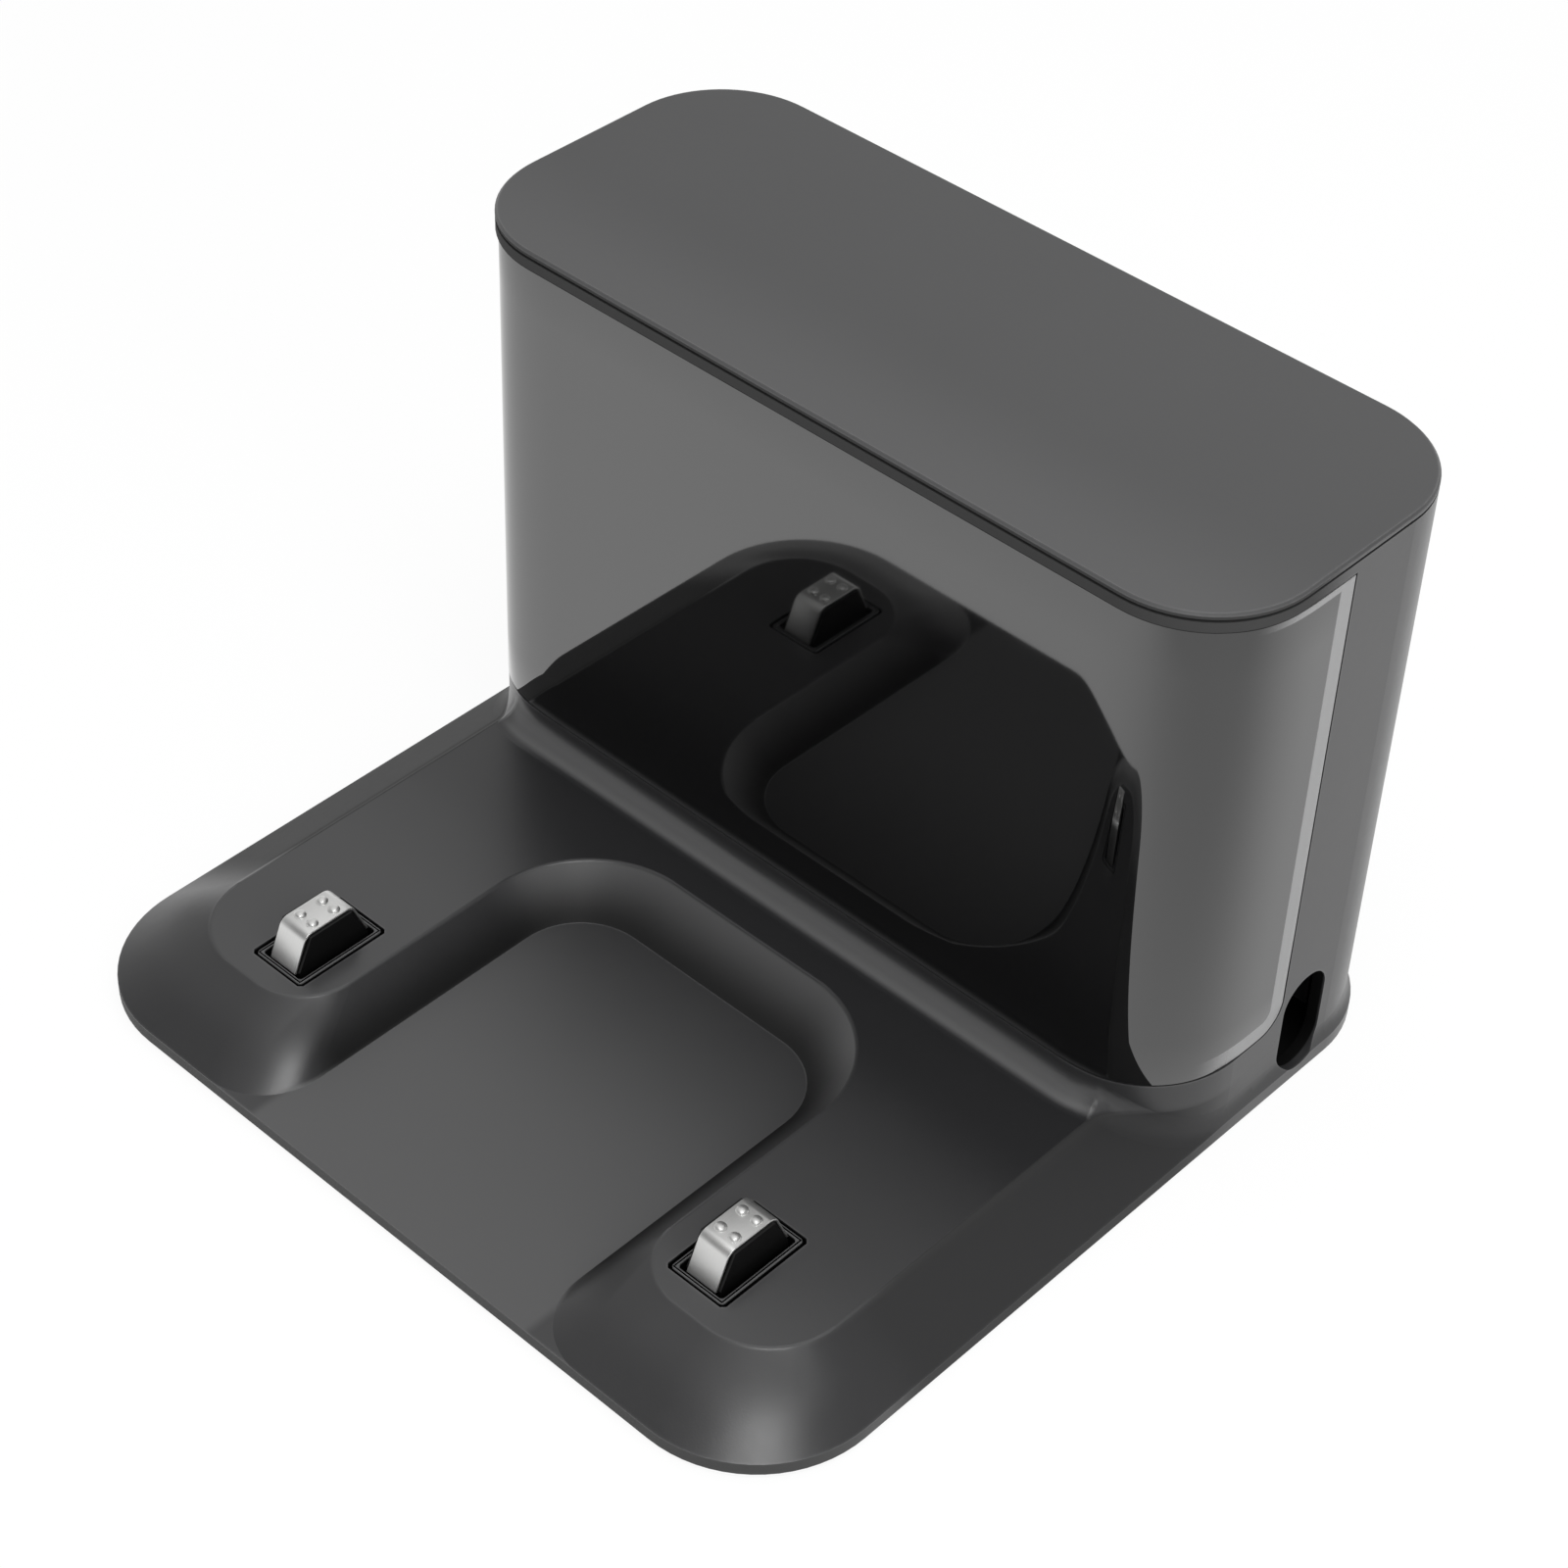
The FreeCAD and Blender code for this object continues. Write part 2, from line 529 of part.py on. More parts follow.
# Top cover: a thin matte plate on the tower's walls, set off by a shadow groove.
cover = new_body("top_cover")
prism(cover, "cover_neck", WALL_TOP, f"{WALL_TOP} + cover_groove", tower_loop("groove_depth"))
rib_side = f"({TOWER_SIDE} - tower_corner - {FRONT_WALL})"
rib_front = f"{TOWER_FRONT} + {FRONT_WALL} + slip"
rib_back = f"{TOWER_BACK} - wall - slip"
prism(cover, "cover_ribs", f"{WALL_TOP} - cover_rib", WALL_TOP,
      rectangle(f"-{rib_side}", rib_side, rib_front, f"{rib_front} + rib_wall"),
      rectangle(f"-{rib_side}", rib_side, f"{rib_back} - rib_wall", rib_back))
plate = prism(cover, "cover_plate", "full_height - cover_edge", "full_height", tower_loop("0"))
cover_level = measure("full_height")
ease_edges(cover, "cover_edges", "Chamfer", plate, "cover_bevel",
            lambda edge: all(abs(spot.z - cover_level) < 0.001 for spot in spots_along(edge)))

# Bottom plate: closes the base from below and carries the feet.
bottom = new_body("bottom_plate")
feet = [(f"{sign}({SIDE} - foot_inset)", place) for place in
        (f"({FRONT} + front_foot_setback)", f"({BACK} - rear_foot_setback)") for sign in ("-", "")]
prism(bottom, "plate", "foot_proud", PLATE_TOP, cheek_foot("(rim_wall + slip)"))

# Rubber feet, glued under the plate.
group("rubber_feet", [rod("rubber_foot", *place, "0", "foot_proud", "foot_size") for place in feet])

# Charging contacts: on each side a frame in the plateau, a sliding carrier, its metal strap and a bow spring.
FRAME_LOW = f"({SKIN_UNDER} - lip_thickness)"
FLANGE_TOP = f"({FRAME_LOW} - slip)"
FLANGE_LOW = f"({PLATE_TOP} + contact_travel + slip)"
CONTACT_TOP = "(plateau_height + contact_height)"
STRAP_FOOT = "(plateau_height - slip)"
HALF_FOOT = "(guide_length / 2 - slip)"
HALF_CROWN = "(contact_crown / 2)"
for side, place in contact_places.items():
    frame = new_body(f"contact_frame_{side}")
    guide = centred(place, CONTACT_MIDDLE, "guide_width", "guide_length")
    prism(frame, "collar", FRAME_LOW, "plateau_height",
          cut_straight(centred(place, CONTACT_MIDDLE, "frame_width", "frame_length", "frame_corner")), guide)
    prism(frame, "lip", FRAME_LOW, SKIN_UNDER,
          centred(place, CONTACT_MIDDLE, "(frame_width + frame_lip * 2)", "(frame_length + frame_lip * 2)"),
          guide)

    carrier = new_body(f"contact_carrier_{side}")
    left = f"{place} - carrier_width / 2"
    right = f"{place} + carrier_width / 2"
    prism(carrier, "flange", FLANGE_LOW, FLANGE_TOP,
          centred(place, CONTACT_MIDDLE, "(guide_width + flange_hold * 2)",
                  "(guide_length + flange_hold * 2)"))
    block_front = f"{CONTACT_MIDDLE} - {HALF_FOOT} + strap_side"
    block_back = f"{CONTACT_MIDDLE} + {HALF_FOOT} - strap_side"
    block_top = f"{CONTACT_TOP} - strap_thickness"
    profile = [(block_front, FLANGE_TOP), (block_back, FLANGE_TOP), (block_back, "plateau_height"),
               (f"{CONTACT_MIDDLE} + {HALF_CROWN} - strap_side / 2", block_top),
               (f"{CONTACT_MIDDLE} - {HALF_CROWN} + strap_side / 2", block_top),
               (block_front, "plateau_height")]
    prism(carrier, "block", left, right, profile, plane="YZ_Plane")

    strap = new_body(f"contact_strap_{side}")
    strap_left = f"{place} - strap_width / 2"
    strap_right = f"{place} + strap_width / 2"
    strap_front = f"{CONTACT_MIDDLE} - {HALF_FOOT}"
    strap_back = f"{CONTACT_MIDDLE} + {HALF_FOOT}"
    band = [(strap_front, STRAP_FOOT), (block_front, STRAP_FOOT), *reversed(profile[2:]),
            (block_back, STRAP_FOOT), (strap_back, STRAP_FOOT), (strap_back, "plateau_height"),
            (f"{CONTACT_MIDDLE} + {HALF_CROWN}", CONTACT_TOP),
            (f"{CONTACT_MIDDLE} - {HALF_CROWN}", CONTACT_TOP), (strap_front, "plateau_height")]
    bent = prism(strap, "band", strap_left, strap_right, band, plane="YZ_Plane")
    crown_level = measure(CONTACT_TOP)
    crown_ends = [measure(f"{CONTACT_MIDDLE} - {HALF_CROWN}"), measure(f"{CONTACT_MIDDLE} + {HALF_CROWN}")]
    ease_edges(strap, "bends", "Fillet", bent, "strap_round",
                lambda edge: all(abs(spot.z - crown_level) < 0.001
                                 and min(abs(spot.y - end) for end in crown_ends) < 0.001
                                 for spot in spots_along(edge)))

    spring = new_body(f"contact_spring_{side}")
    half_span = "(spring_span / 2)"
    half_top = "(spring_crown / 2)"
    inner_span = f"({half_span} - spring_foot)"
    bow = [(f"{CONTACT_MIDDLE} - {half_span}", PLATE_TOP), (f"{CONTACT_MIDDLE} - {inner_span}", PLATE_TOP),
           (f"{CONTACT_MIDDLE} - {half_top}", f"{FLANGE_LOW} - spring_strip"),
           (f"{CONTACT_MIDDLE} + {half_top}", f"{FLANGE_LOW} - spring_strip"),
           (f"{CONTACT_MIDDLE} + {inner_span}", PLATE_TOP), (f"{CONTACT_MIDDLE} + {half_span}", PLATE_TOP),
           (f"{CONTACT_MIDDLE} + {half_span}", f"{PLATE_TOP} + spring_strip"),
           (f"{CONTACT_MIDDLE} + {inner_span} + spring_strip / 2", f"{PLATE_TOP} + spring_strip"),
           (f"{CONTACT_MIDDLE} + {half_top} + spring_strip / 2", FLANGE_LOW),
           (f"{CONTACT_MIDDLE} - {half_top} - spring_strip / 2", FLANGE_LOW),
           (f"{CONTACT_MIDDLE} - {inner_span} - spring_strip / 2", f"{PLATE_TOP} + spring_strip"),
           (f"{CONTACT_MIDDLE} - {half_span}", f"{PLATE_TOP} + spring_strip")]
    prism(spring, "bow", f"{place} - spring_width / 2", f"{place} + spring_width / 2", bow, plane="YZ_Plane")

# Inner chassis: the front wall and ceiling of the cable bay, with the power board's rails.
chassis = new_body("inner_chassis")
inner_side = f"({TOWER_SIDE} - {FRONT_WALL} - slip)"
outer_side = f"({TOWER_SIDE} - wall - slip)"
prism(chassis, "bay_wall", PLATE_TOP, "bay_top + partition",
      rectangle(f"-{inner_side}", inner_side, f"{BAY_FRONT} - partition", BAY_FRONT))
prism(chassis, "bay_ceiling_front", "bay_top", "bay_top + partition",
      rectangle(f"-{inner_side}", inner_side, f"{BAY_FRONT} - partition", f"{SEAM} + wall * 2"))
prism(chassis, "bay_ceiling", "bay_top", "bay_top + partition",
      rectangle(f"-{outer_side}", outer_side, f"{SEAM} + wall + slip", f"{TOWER_BACK} - wall - slip",
                None, "(tower_corner - wall - slip)"))
half_board = "(board_depth / 2)"
prism(chassis, "board_rails", "bay_top + partition / 2", BOARD_LOW,
      rectangle("-board_width / 2", "board_width / 2", f"{BOARD_MIDDLE} - {half_board}",
                f"{BOARD_MIDDLE} - {half_board} + rail_width"),
      rectangle("-board_width / 2", "board_width / 2", f"{BOARD_MIDDLE} + {half_board} - rail_width",
                f"{BOARD_MIDDLE} + {half_board}"))
prism(chassis, "inlet_hole", "bay_top", "bay_top + partition",
      centred("0", BOARD_MIDDLE, "(inlet_width + slip)", "(inlet_depth + slip)"), cut=True)

# Mains inlet: a two-pin socket that faces down into the cable bay.
inlet = new_body("power_inlet")
INLET_MOUTH = "(bay_top - inlet_flange)"
prism(inlet, "barrel", INLET_MOUTH, BOARD_LOW, centred("0", BOARD_MIDDLE, "inlet_width", "inlet_depth"))
prism(inlet, "flange", INLET_MOUTH, "bay_top",
      centred("0", BOARD_MIDDLE, "(inlet_width + inlet_lip * 2)", "(inlet_depth + inlet_lip * 2)"))
prism(inlet, "socket", INLET_MOUTH, f"{INLET_MOUTH} + socket_reach",
      centred("0", BOARD_MIDDLE, "socket_width", "socket_depth", "socket_corner"), cut=True)
pin_places = [(f"{sign}pin_spacing / 2", BOARD_MIDDLE) for sign in ("-", "")]
group("inlet_pins", [rod("inlet_pin", *place, f"{INLET_MOUTH} + pin_back",
                               f"{INLET_MOUTH} + socket_reach", "pin_size")
                     for place in pin_places])

# Power board and the parts that stand on it.
board("power_board", ("-board_width / 2", f"{BOARD_MIDDLE} - board_depth / 2", BOARD_LOW),
           ("board_width / 2", f"{BOARD_MIDDLE} + board_depth / 2", BOARD_TOP))
transformer = new_body("transformer")
prism(transformer, "core", BOARD_TOP, f"{BOARD_TOP} + core_height",
      centred("transformer_shift", BOARD_MIDDLE, "core_width", "core_depth"))
winding_low = f"({BOARD_TOP} + (core_height - winding_height) / 2)"
prism(transformer, "winding", winding_low, f"{winding_low} + winding_height",
      centred("transformer_shift", BOARD_MIDDLE, "winding_width", "winding_depth"))
group("bulk_capacitor", [rod("can", "bulk_shift", BOARD_MIDDLE, BOARD_TOP, f"{BOARD_TOP} + bulk_height",
                             "bulk_size")])

# Infrared beacon behind the window: a board on ribs, its emitters and the shroud that shapes the beam.
board("beacon_board", (f"-{half_beacon}", BEACON_FACE, f"beam_level - {half_upright}"),
           (half_beacon, f"{BEACON_FACE} + board_thickness", f"beam_level + {half_upright}"))
emitter_places = ["(-emitter_spacing)", "0", "emitter_spacing"]
shroud = new_body("beam_shroud")
prism(shroud, "shroud", f"{TOWER_FRONT} + {SEAT_DEPTH}", BEACON_FACE,
      centred("0", "beam_level", "(beam_width - slip * 2)", "(beam_height - slip * 2)"),
      *[centred(place, "beam_level", "aperture", "aperture") for place in emitter_places], plane="XZ_Plane")
emitters = []
for place in emitter_places:
    emitter = block("emitter", (f"{place} - emitter_size / 2", f"{BEACON_FACE} - emitter_size / 2",
                                "beam_level - emitter_size / 2"),
                    (f"{place} + emitter_size / 2", BEACON_FACE, "beam_level + emitter_size / 2"))
    emitters.append(emitter)
group("infrared_emitters", emitters)

# Build, check every object and write each piece.
doc.recompute()
for item in doc.Objects:
    if "Invalid" in item.State or "Error" in item.State:
        raise RuntimeError(f"{item.Label} failed: {item.State}")
os.makedirs("parts", exist_ok=True)
for piece in pieces:
    if piece.Shape.isNull() or not piece.Shape.isValid() or not piece.Shape.Solids:
        raise RuntimeError(f"{piece.Label} has no valid solid")
for piece in pieces:
    piece.Shape.exportStep(f"parts/{piece.Label}.step")
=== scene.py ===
import math

import bpy
from mathutils import Euler, Matrix, Vector


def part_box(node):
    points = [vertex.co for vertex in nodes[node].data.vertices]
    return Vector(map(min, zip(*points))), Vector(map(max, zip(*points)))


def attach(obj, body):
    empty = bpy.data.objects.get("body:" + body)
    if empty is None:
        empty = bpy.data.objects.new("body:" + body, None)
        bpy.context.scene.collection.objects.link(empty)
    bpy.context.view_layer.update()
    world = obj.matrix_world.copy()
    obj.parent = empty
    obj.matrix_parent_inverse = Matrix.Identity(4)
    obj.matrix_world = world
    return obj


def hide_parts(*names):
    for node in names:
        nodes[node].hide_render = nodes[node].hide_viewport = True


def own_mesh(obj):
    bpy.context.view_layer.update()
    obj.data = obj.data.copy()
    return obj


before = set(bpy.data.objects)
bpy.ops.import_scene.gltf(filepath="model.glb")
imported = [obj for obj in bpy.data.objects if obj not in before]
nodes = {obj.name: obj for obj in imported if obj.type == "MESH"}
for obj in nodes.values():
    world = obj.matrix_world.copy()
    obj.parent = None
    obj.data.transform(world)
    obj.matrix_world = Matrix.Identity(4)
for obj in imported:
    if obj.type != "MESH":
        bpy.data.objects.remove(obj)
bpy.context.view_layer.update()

# Main housing: the low base and the tower in one injection moulding.
# Dark grey ABS with a fine spark-eroded grain, a little duller on its broad faces. Painted highlights, painted
# light and painted shade are set into its colour by place.
MM = 0.001


class Shade:
    """A shader socket: sums on it add Math nodes, and node() adds any other node to its tree."""

    def __init__(self, tree, socket=None):
        self.tree = tree
        self.socket = socket

    def node(self, kind, settings=None, sockets=None, output=0):
        made = self.tree.nodes.new(kind)
        for name, value in (settings or {}).items():
            if name == "stops":
                stops = made.color_ramp.elements
                stops.remove(stops[1])
                for place, level in value:
                    stop = stops.new(place) if place else stops[0]
                    stop.color = (level, level, level, 1)
            else:
                setattr(made, name, value)
        for name, value in (sockets or {}).items():
            if isinstance(value, Shade):
                self.tree.links.new(value.socket, made.inputs[name])
            else:
                made.inputs[name].default_value = value
        return Shade(self.tree, made.outputs[output] if made.outputs else None)

    def maths(self, operation, first, second):
        return self.node("ShaderNodeMath", {"operation": operation}, {0: first, 1: second})

    def __add__(self, other):
        return self.maths("ADD", self, other)

    def __sub__(self, other):
        return self.maths("SUBTRACT", self, other)

    def __mul__(self, other):
        return self.maths("MULTIPLY", self, other)

    def __radd__(self, other):
        return self.maths("ADD", other, self)

    def __rsub__(self, other):
        return self.maths("SUBTRACT", other, self)

    def __rmul__(self, other):
        return self.maths("MULTIPLY", other, self)


def new_finish(name):
    """An empty material, and the tree to draw it in."""
    material = bpy.data.materials.new(name)
    material.use_nodes = True
    material.node_tree.nodes.clear()
    return material, Shade(material.node_tree)


def put_out(tree, surface):
    """Make a surface the material's own."""
    tree.node("ShaderNodeOutputMaterial", None, {"Surface": surface})


def on_piece(tree):
    """The point on the piece, in the frame that all pieces share."""
    return tree.node("ShaderNodeTexCoord", None, None, "Object")


def axes(tree):
    """The three coordinates of a point on the piece, in metres."""
    place = on_piece(tree)
    return [tree.node("ShaderNodeSeparateXYZ", None, {"Vector": place}, axis) for axis in "XYZ"]


def noise(tree, size, detail=2.0, stretch=(1, 1, 1)):
    """Cloudy variation from 0 to 1, with patches of a size in metres."""
    place = tree.node("ShaderNodeVectorMath", {"operation": "MULTIPLY"}, {0: on_piece(tree), 1: stretch})
    return tree.node("ShaderNodeTexNoise", None, {"Vector": place, "Scale": 1 / size, "Detail": detail}, "Fac")


def fade(value, start, end):
    """A soft step from 0 at the start to 1 at the end."""
    return value.node("ShaderNodeMapRange", {"interpolation_type": "SMOOTHSTEP"},
                      {"Value": value, "From Min": start, "From Max": end})


def step(value, start, end):
    """A soft step over the part, between two places in millimetres."""
    return fade(value, start * MM, end * MM)


def size_of(value):
    """A value without its sign, so that left and right are alike."""
    return value.node("ShaderNodeMath", {"operation": "ABSOLUTE"}, {0: value})


def grey(level, blue=0.001):
    """A plastic's grey, as a rule with a trace more blue."""
    return (level, level, level + blue)


def tint(mask, below, above):
    """Mix two colours, each a triple or a socket."""
    below, above = (end if isinstance(end, Shade) else (*end, 1) for end in (below, above))
    return mask.node("ShaderNodeMix", {"data_type": "RGBA"}, {0: mask, 6: below, 7: above}, 2)


def relief(height, strength, depth):
    """Fine unevenness for a surface's Normal."""
    return height.node("ShaderNodeBump", None, {"Height": height, "Strength": strength, "Distance": depth})


CLOUD_SIZE = 28 * MM
CLOUD_SHARE = 0.8
CLOUD_SHEEN = 0.08
SPECK_SIZE = 1.2 * MM
SPECK_SHEEN = 0.05
EDGE_HIGHLIGHT_WIDTH = 0.7 * MM
EDGE_HIGHLIGHT_TURN = (0.01, 0.12)
EDGE_HIGHLIGHT_LEAST = 0.4
GRAIN_STRENGTH = 0.6
UNLIT_ROUGHNESS = 0.7
UNLIT_GLOSS = 0.1
# Painted shade: the black put into gaps and holes.
GAP_PAINTED_SHADE = 0.002


def moulded_plastic(name, dark, light, rough, grain_depth, grain_size=0.35 * MM, gloss=0.5, edge_highlight=None,
                    patches=(), unlit=()):
    """A moulded plastic with clouds in its colour and sheen, a fine grain and a painted highlight on its edges.

    A patch is a mask with its grey and roughness. An unlit place, painted shading, is a mask with its share and
    grey.
    """
    material, tree = new_finish(name)
    clouds = noise(tree, CLOUD_SIZE, 3)
    specks = noise(tree, SPECK_SIZE, 2)
    colour = tint(clouds * CLOUD_SHARE + specks * (1 - CLOUD_SHARE), dark, light)
    sheen = clouds * CLOUD_SHEEN + specks * SPECK_SHEEN + (rough - (CLOUD_SHEEN + SPECK_SHEEN) / 2)
    # Most patches paint light or shade into the colour by place.
    for covers, level, dull in patches:
        mask = covers(*axes(tree))
        colour = tint(mask, colour, grey(level))
        sheen = sheen + mask * (dull - rough)
    # Painted highlight: edges that turn are painted paler, flecked by the specks.
    if edge_highlight:
        eased = tree.node("ShaderNodeBevel", {"samples": 6}, {"Radius": EDGE_HIGHLIGHT_WIDTH}, "Normal")
        facing = tree.node("ShaderNodeNewGeometry", None, None, "Normal")
        turn = 1 - tree.node("ShaderNodeVectorMath", {"operation": "DOT_PRODUCT"}, {0: eased, 1: facing}, "Value")
        highlit_edge = fade(turn, *EDGE_HIGHLIGHT_TURN) * (specks * (1 - EDGE_HIGHLIGHT_LEAST) + EDGE_HIGHLIGHT_LEAST)
        colour = tint(highlit_edge, colour, edge_highlight)
    grain = relief(noise(tree, grain_size, 2), GRAIN_STRENGTH, grain_depth)
    surface = tree.node("ShaderNodeBsdfPrincipled", None, {
        "Base Color": colour, "Roughness": sheen, "Specular IOR Level": gloss, "Normal": grain})
    # Painted shading: a dull grey shader is mixed in at each unlit place.
    for covers, share, level in unlit:
        shade = tree.node("ShaderNodeBsdfPrincipled", None, {
            "Base Color": (*grey(level, 0), 1), "Roughness": UNLIT_ROUGHNESS, "Specular IOR Level": UNLIT_GLOSS})
        surface = tree.node("ShaderNodeMixShader", None, {0: covers(*axes(tree)) * share, 1: surface, 2: shade})
    put_out(tree, surface)
    return material


def dress(name, material):
    """Give a CAD node its finish."""
    nodes[name].data.materials.clear()
    nodes[name].data.materials.append(material)


# Levels and places on the moulding, in millimetres, for the masks that follow.
RIM_TOP = 3.0
RECESS_FLOOR = 3.0
PLATEAU = 10.0
WINDOW_SEAM = 102.0
CONTACT_ACROSS = 45.3
CONTACT_ALONG = -46.2


# Painted light: the recess floor is painted paler than the rest, and made a little duller.
def recess_floor_painted_light(x, y, z):
    level = step(z, RECESS_FLOOR - 2, RECESS_FLOOR - 1.6) * step(z, RECESS_FLOOR + 0.5, RECESS_FLOOR + 0.1)
    return level * step(size_of(x), 31, 29) * step(y, 10, -48)


# Painted shade: the outer flanks are painted darker and made duller.
def outer_flanks_painted_shade(x, y, z):
    along = step(y, -50, -38) * step(y, 36, 14)
    return along * step(z, PLATEAU - 0.1, PLATEAU - 0.7) * step(size_of(x), 57, 62)


# Painted shade: a dull grey along the plateau's side edges hides their gleam, so they look softer.
def side_edges_painted_shade(x, y, z):
    along = step(y, -44, -32) * step(y, 20, 10) * step(size_of(x), 52, 56)
    return along * step(z, PLATEAU - 1.1, PLATEAU - 0.5) * step(z, PLATEAU, PLATEAU - 0.015)


def front_shoulders(x, y, z):
    return step(z, 4.6, 8.8) * step(z, PLATEAU - 0.05, PLATEAU - 0.3) * step(y, -48, -57)


# Painted shading: the front rim is painted a dull, flat grey.
def front_rim_painted_shading(x, y, z):
    return step(z, RIM_TOP, RIM_TOP - 0.2) * step(y, -42, -64)


# Painted light: the front of the plateau is painted paler.
def plateau_front_painted_light(x, y, z):
    return step(z, PLATEAU - 0.4, PLATEAU - 0.05) * step(z, PLATEAU + 0.3, PLATEAU + 0.1) * step(y, -5, -30)


# Painted shade: the plateau next to the tower is painted darker.
def plateau_by_tower_painted_shade(x, y, z):
    return step(z, PLATEAU - 0.4, PLATEAU - 0.05) * step(z, PLATEAU + 0.2, PLATEAU + 0.05) * step(y, -14, -1)


def recess_walls(x, y, z):
    level = step(z, RECESS_FLOOR + 0.02, RECESS_FLOOR + 0.12) * step(z, PLATEAU - 0.1, PLATEAU - 0.4)
    return level * step(size_of(x), 37, 36) * step(y, 4, 3) * step(y, -66, -56)


# Painted light: the end wall of the recess is painted paler.
def recess_end_wall_painted_light(x, y, z):
    return recess_walls(x, y, z) * step(y, -22, -10)


# Painted shade: the recess walls are painted darker towards their feet.
def recess_wall_feet_painted_shade(x, y, z):
    return recess_walls(x, y, z) * step(z, PLATEAU + 1, RECESS_FLOOR + 0.2)


# Painted highlight: a paler band along the cove at the tower's foot.
def tower_cove_painted_highlight(x, y, z):
    along = step(size_of(x), 66, 60) * step(y, 6, 7.5) * step(y, 13.5, 12.5)
    return along * step(z, PLATEAU + 0.03, PLATEAU + 0.4) * step(z, PLATEAU + 2.8, PLATEAU + 1.2)


# Painted shade: the rim under the cover, above the window, is painted dark.
def rim_under_cover_painted_shade(x, y, z):
    return step(z, WINDOW_SEAM - 0.8, WINDOW_SEAM - 0.5) * step(y, 42, 30)


# Painted shade: a black line along the seam over the window.
def seam_over_window_painted_shade(x, y, z):
    return step(z, WINDOW_SEAM, WINDOW_SEAM - 0.2) * rim_under_cover_painted_shade(x, y, z)


# Painted shade: the insides of the cord slots are painted black.
def inside_slots_painted_shade(x, y, z):
    along = step(y, 41.7, 42) * step(y, 54.5, 53.5)
    return along * step(z, 1.8, 2.4) * step(z, 26, 24) * step(size_of(x), 74.8, 74.5)


# Painted shade: the walls inside the contact holes are painted black.
def inside_contact_holes_painted_shade(x, y, z):
    along = step(size_of(y - CONTACT_ALONG * MM), 9.6, 9.2)
    across = step(size_of(size_of(x) - CONTACT_ACROSS * MM), 6.4, 6.0)
    return along * across * step(z, PLATEAU - 0.1, PLATEAU - 0.5)


dress("main_housing", moulded_plastic(
    "housing_plastic_grain", grey(0.020), grey(0.028), rough=0.30, grain_depth=0.012 * MM, gloss=0.65,
    edge_highlight=grey(0.07),
    patches=[(recess_floor_painted_light, 0.064, 0.45), (outer_flanks_painted_shade, 0.020, 0.52), (plateau_front_painted_light, 0.037, 0.30),
             (plateau_by_tower_painted_shade, 0.017, 0.30), (front_shoulders, 0.026, 0.52), (recess_end_wall_painted_light, 0.066, 0.40),
             (tower_cove_painted_highlight, 0.078, 0.40)],
    unlit=[(recess_wall_feet_painted_shade, 0.85, 0.004), (outer_flanks_painted_shade, 0.45, 0.015), (side_edges_painted_shade, 0.75, 0.028),
           (front_rim_painted_shading, 0.8, 0.06), (rim_under_cover_painted_shade, 1, 0.05), (seam_over_window_painted_shade, 1, 0.004),
           (inside_slots_painted_shade, 1, GAP_PAINTED_SHADE), (inside_contact_holes_painted_shade, 1, GAP_PAINTED_SHADE)]))

# Front window: a polished shell that lets infrared through and looks black.
# Injection moulded in tinted polycarbonate with a slight draft and snapped into its seat. Its
# flat face runs into the corners without a break, and mirrors the floor and the base.
NEAR = 0.01 * MM


def take(piece):
    """Select one piece alone, and make it the active one."""
    bpy.ops.object.select_all(action="DESELECT")
    piece.select_set(True)
    bpy.context.view_layer.objects.active = piece


def add_piece(name, add, **settings):
    """Add a primitive, with nothing else selected, and name it."""
    if bpy.context.mode != "OBJECT":
        bpy.ops.object.mode_set(mode="OBJECT")
    bpy.ops.object.select_all(action="DESELECT")
    add(**settings)
    piece = bpy.context.object
    piece.name = name
    bpy.ops.object.transform_apply(location=True, rotation=True, scale=True)
    return piece


def pick(piece, kind, wanted, along=None):
    """Select the edges or faces whose corners all pass a test, and stay in edit mode."""
    bpy.ops.object.mode_set(mode="EDIT")
    bpy.ops.mesh.select_mode(type=kind)
    bpy.ops.mesh.select_all(action="DESELECT")
    bpy.ops.object.mode_set(mode="OBJECT")
    mesh = piece.data
    for item in {"EDGE": mesh.edges, "FACE": mesh.polygons}[kind]:
        corners = [mesh.vertices[corner].co for corner in item.vertices]
        lies = along is None or abs((corners[1] - corners[0]).normalized()[along]) > 0.99
        item.select = lies and all(wanted(corner) for corner in corners)
    bpy.ops.object.mode_set(mode="EDIT")


def extrude(x, y, z):
    """Draw what is selected out by a distance."""
    bpy.ops.mesh.extrude_region_move(TRANSFORM_OT_translate={"value": (x, y, z)})


def trim(place, outwards):
    """Cut all of the piece that lies beyond a plane."""
    bpy.ops.mesh.select_all(action="SELECT")
    bpy.ops.mesh.bisect(plane_co=place, plane_no=outwards, clear_outer=True)


def finish_with(piece, kind, **settings):
    """Add a modifier and apply it."""
    bpy.ops.object.mode_set(mode="OBJECT")
    bpy.context.view_layer.objects.active = piece
    modifier = piece.modifiers.new(kind.lower(), kind)
    for name, value in settings.items():
        setattr(modifier, name, value)
    bpy.ops.object.modifier_apply(modifier=modifier.name)


def round_edges(piece, width, sharper_than):
    """Round all edges that turn by more than an angle in degrees."""
    finish_with(piece, "BEVEL", width=width, segments=3, limit_method="ANGLE",
                angle_limit=math.radians(sharper_than))


def smooth_below(degrees):
    """Shade the active piece smooth, apart from edges that turn by more than an angle."""
    bpy.ops.object.shade_smooth_by_angle(angle=math.radians(degrees))


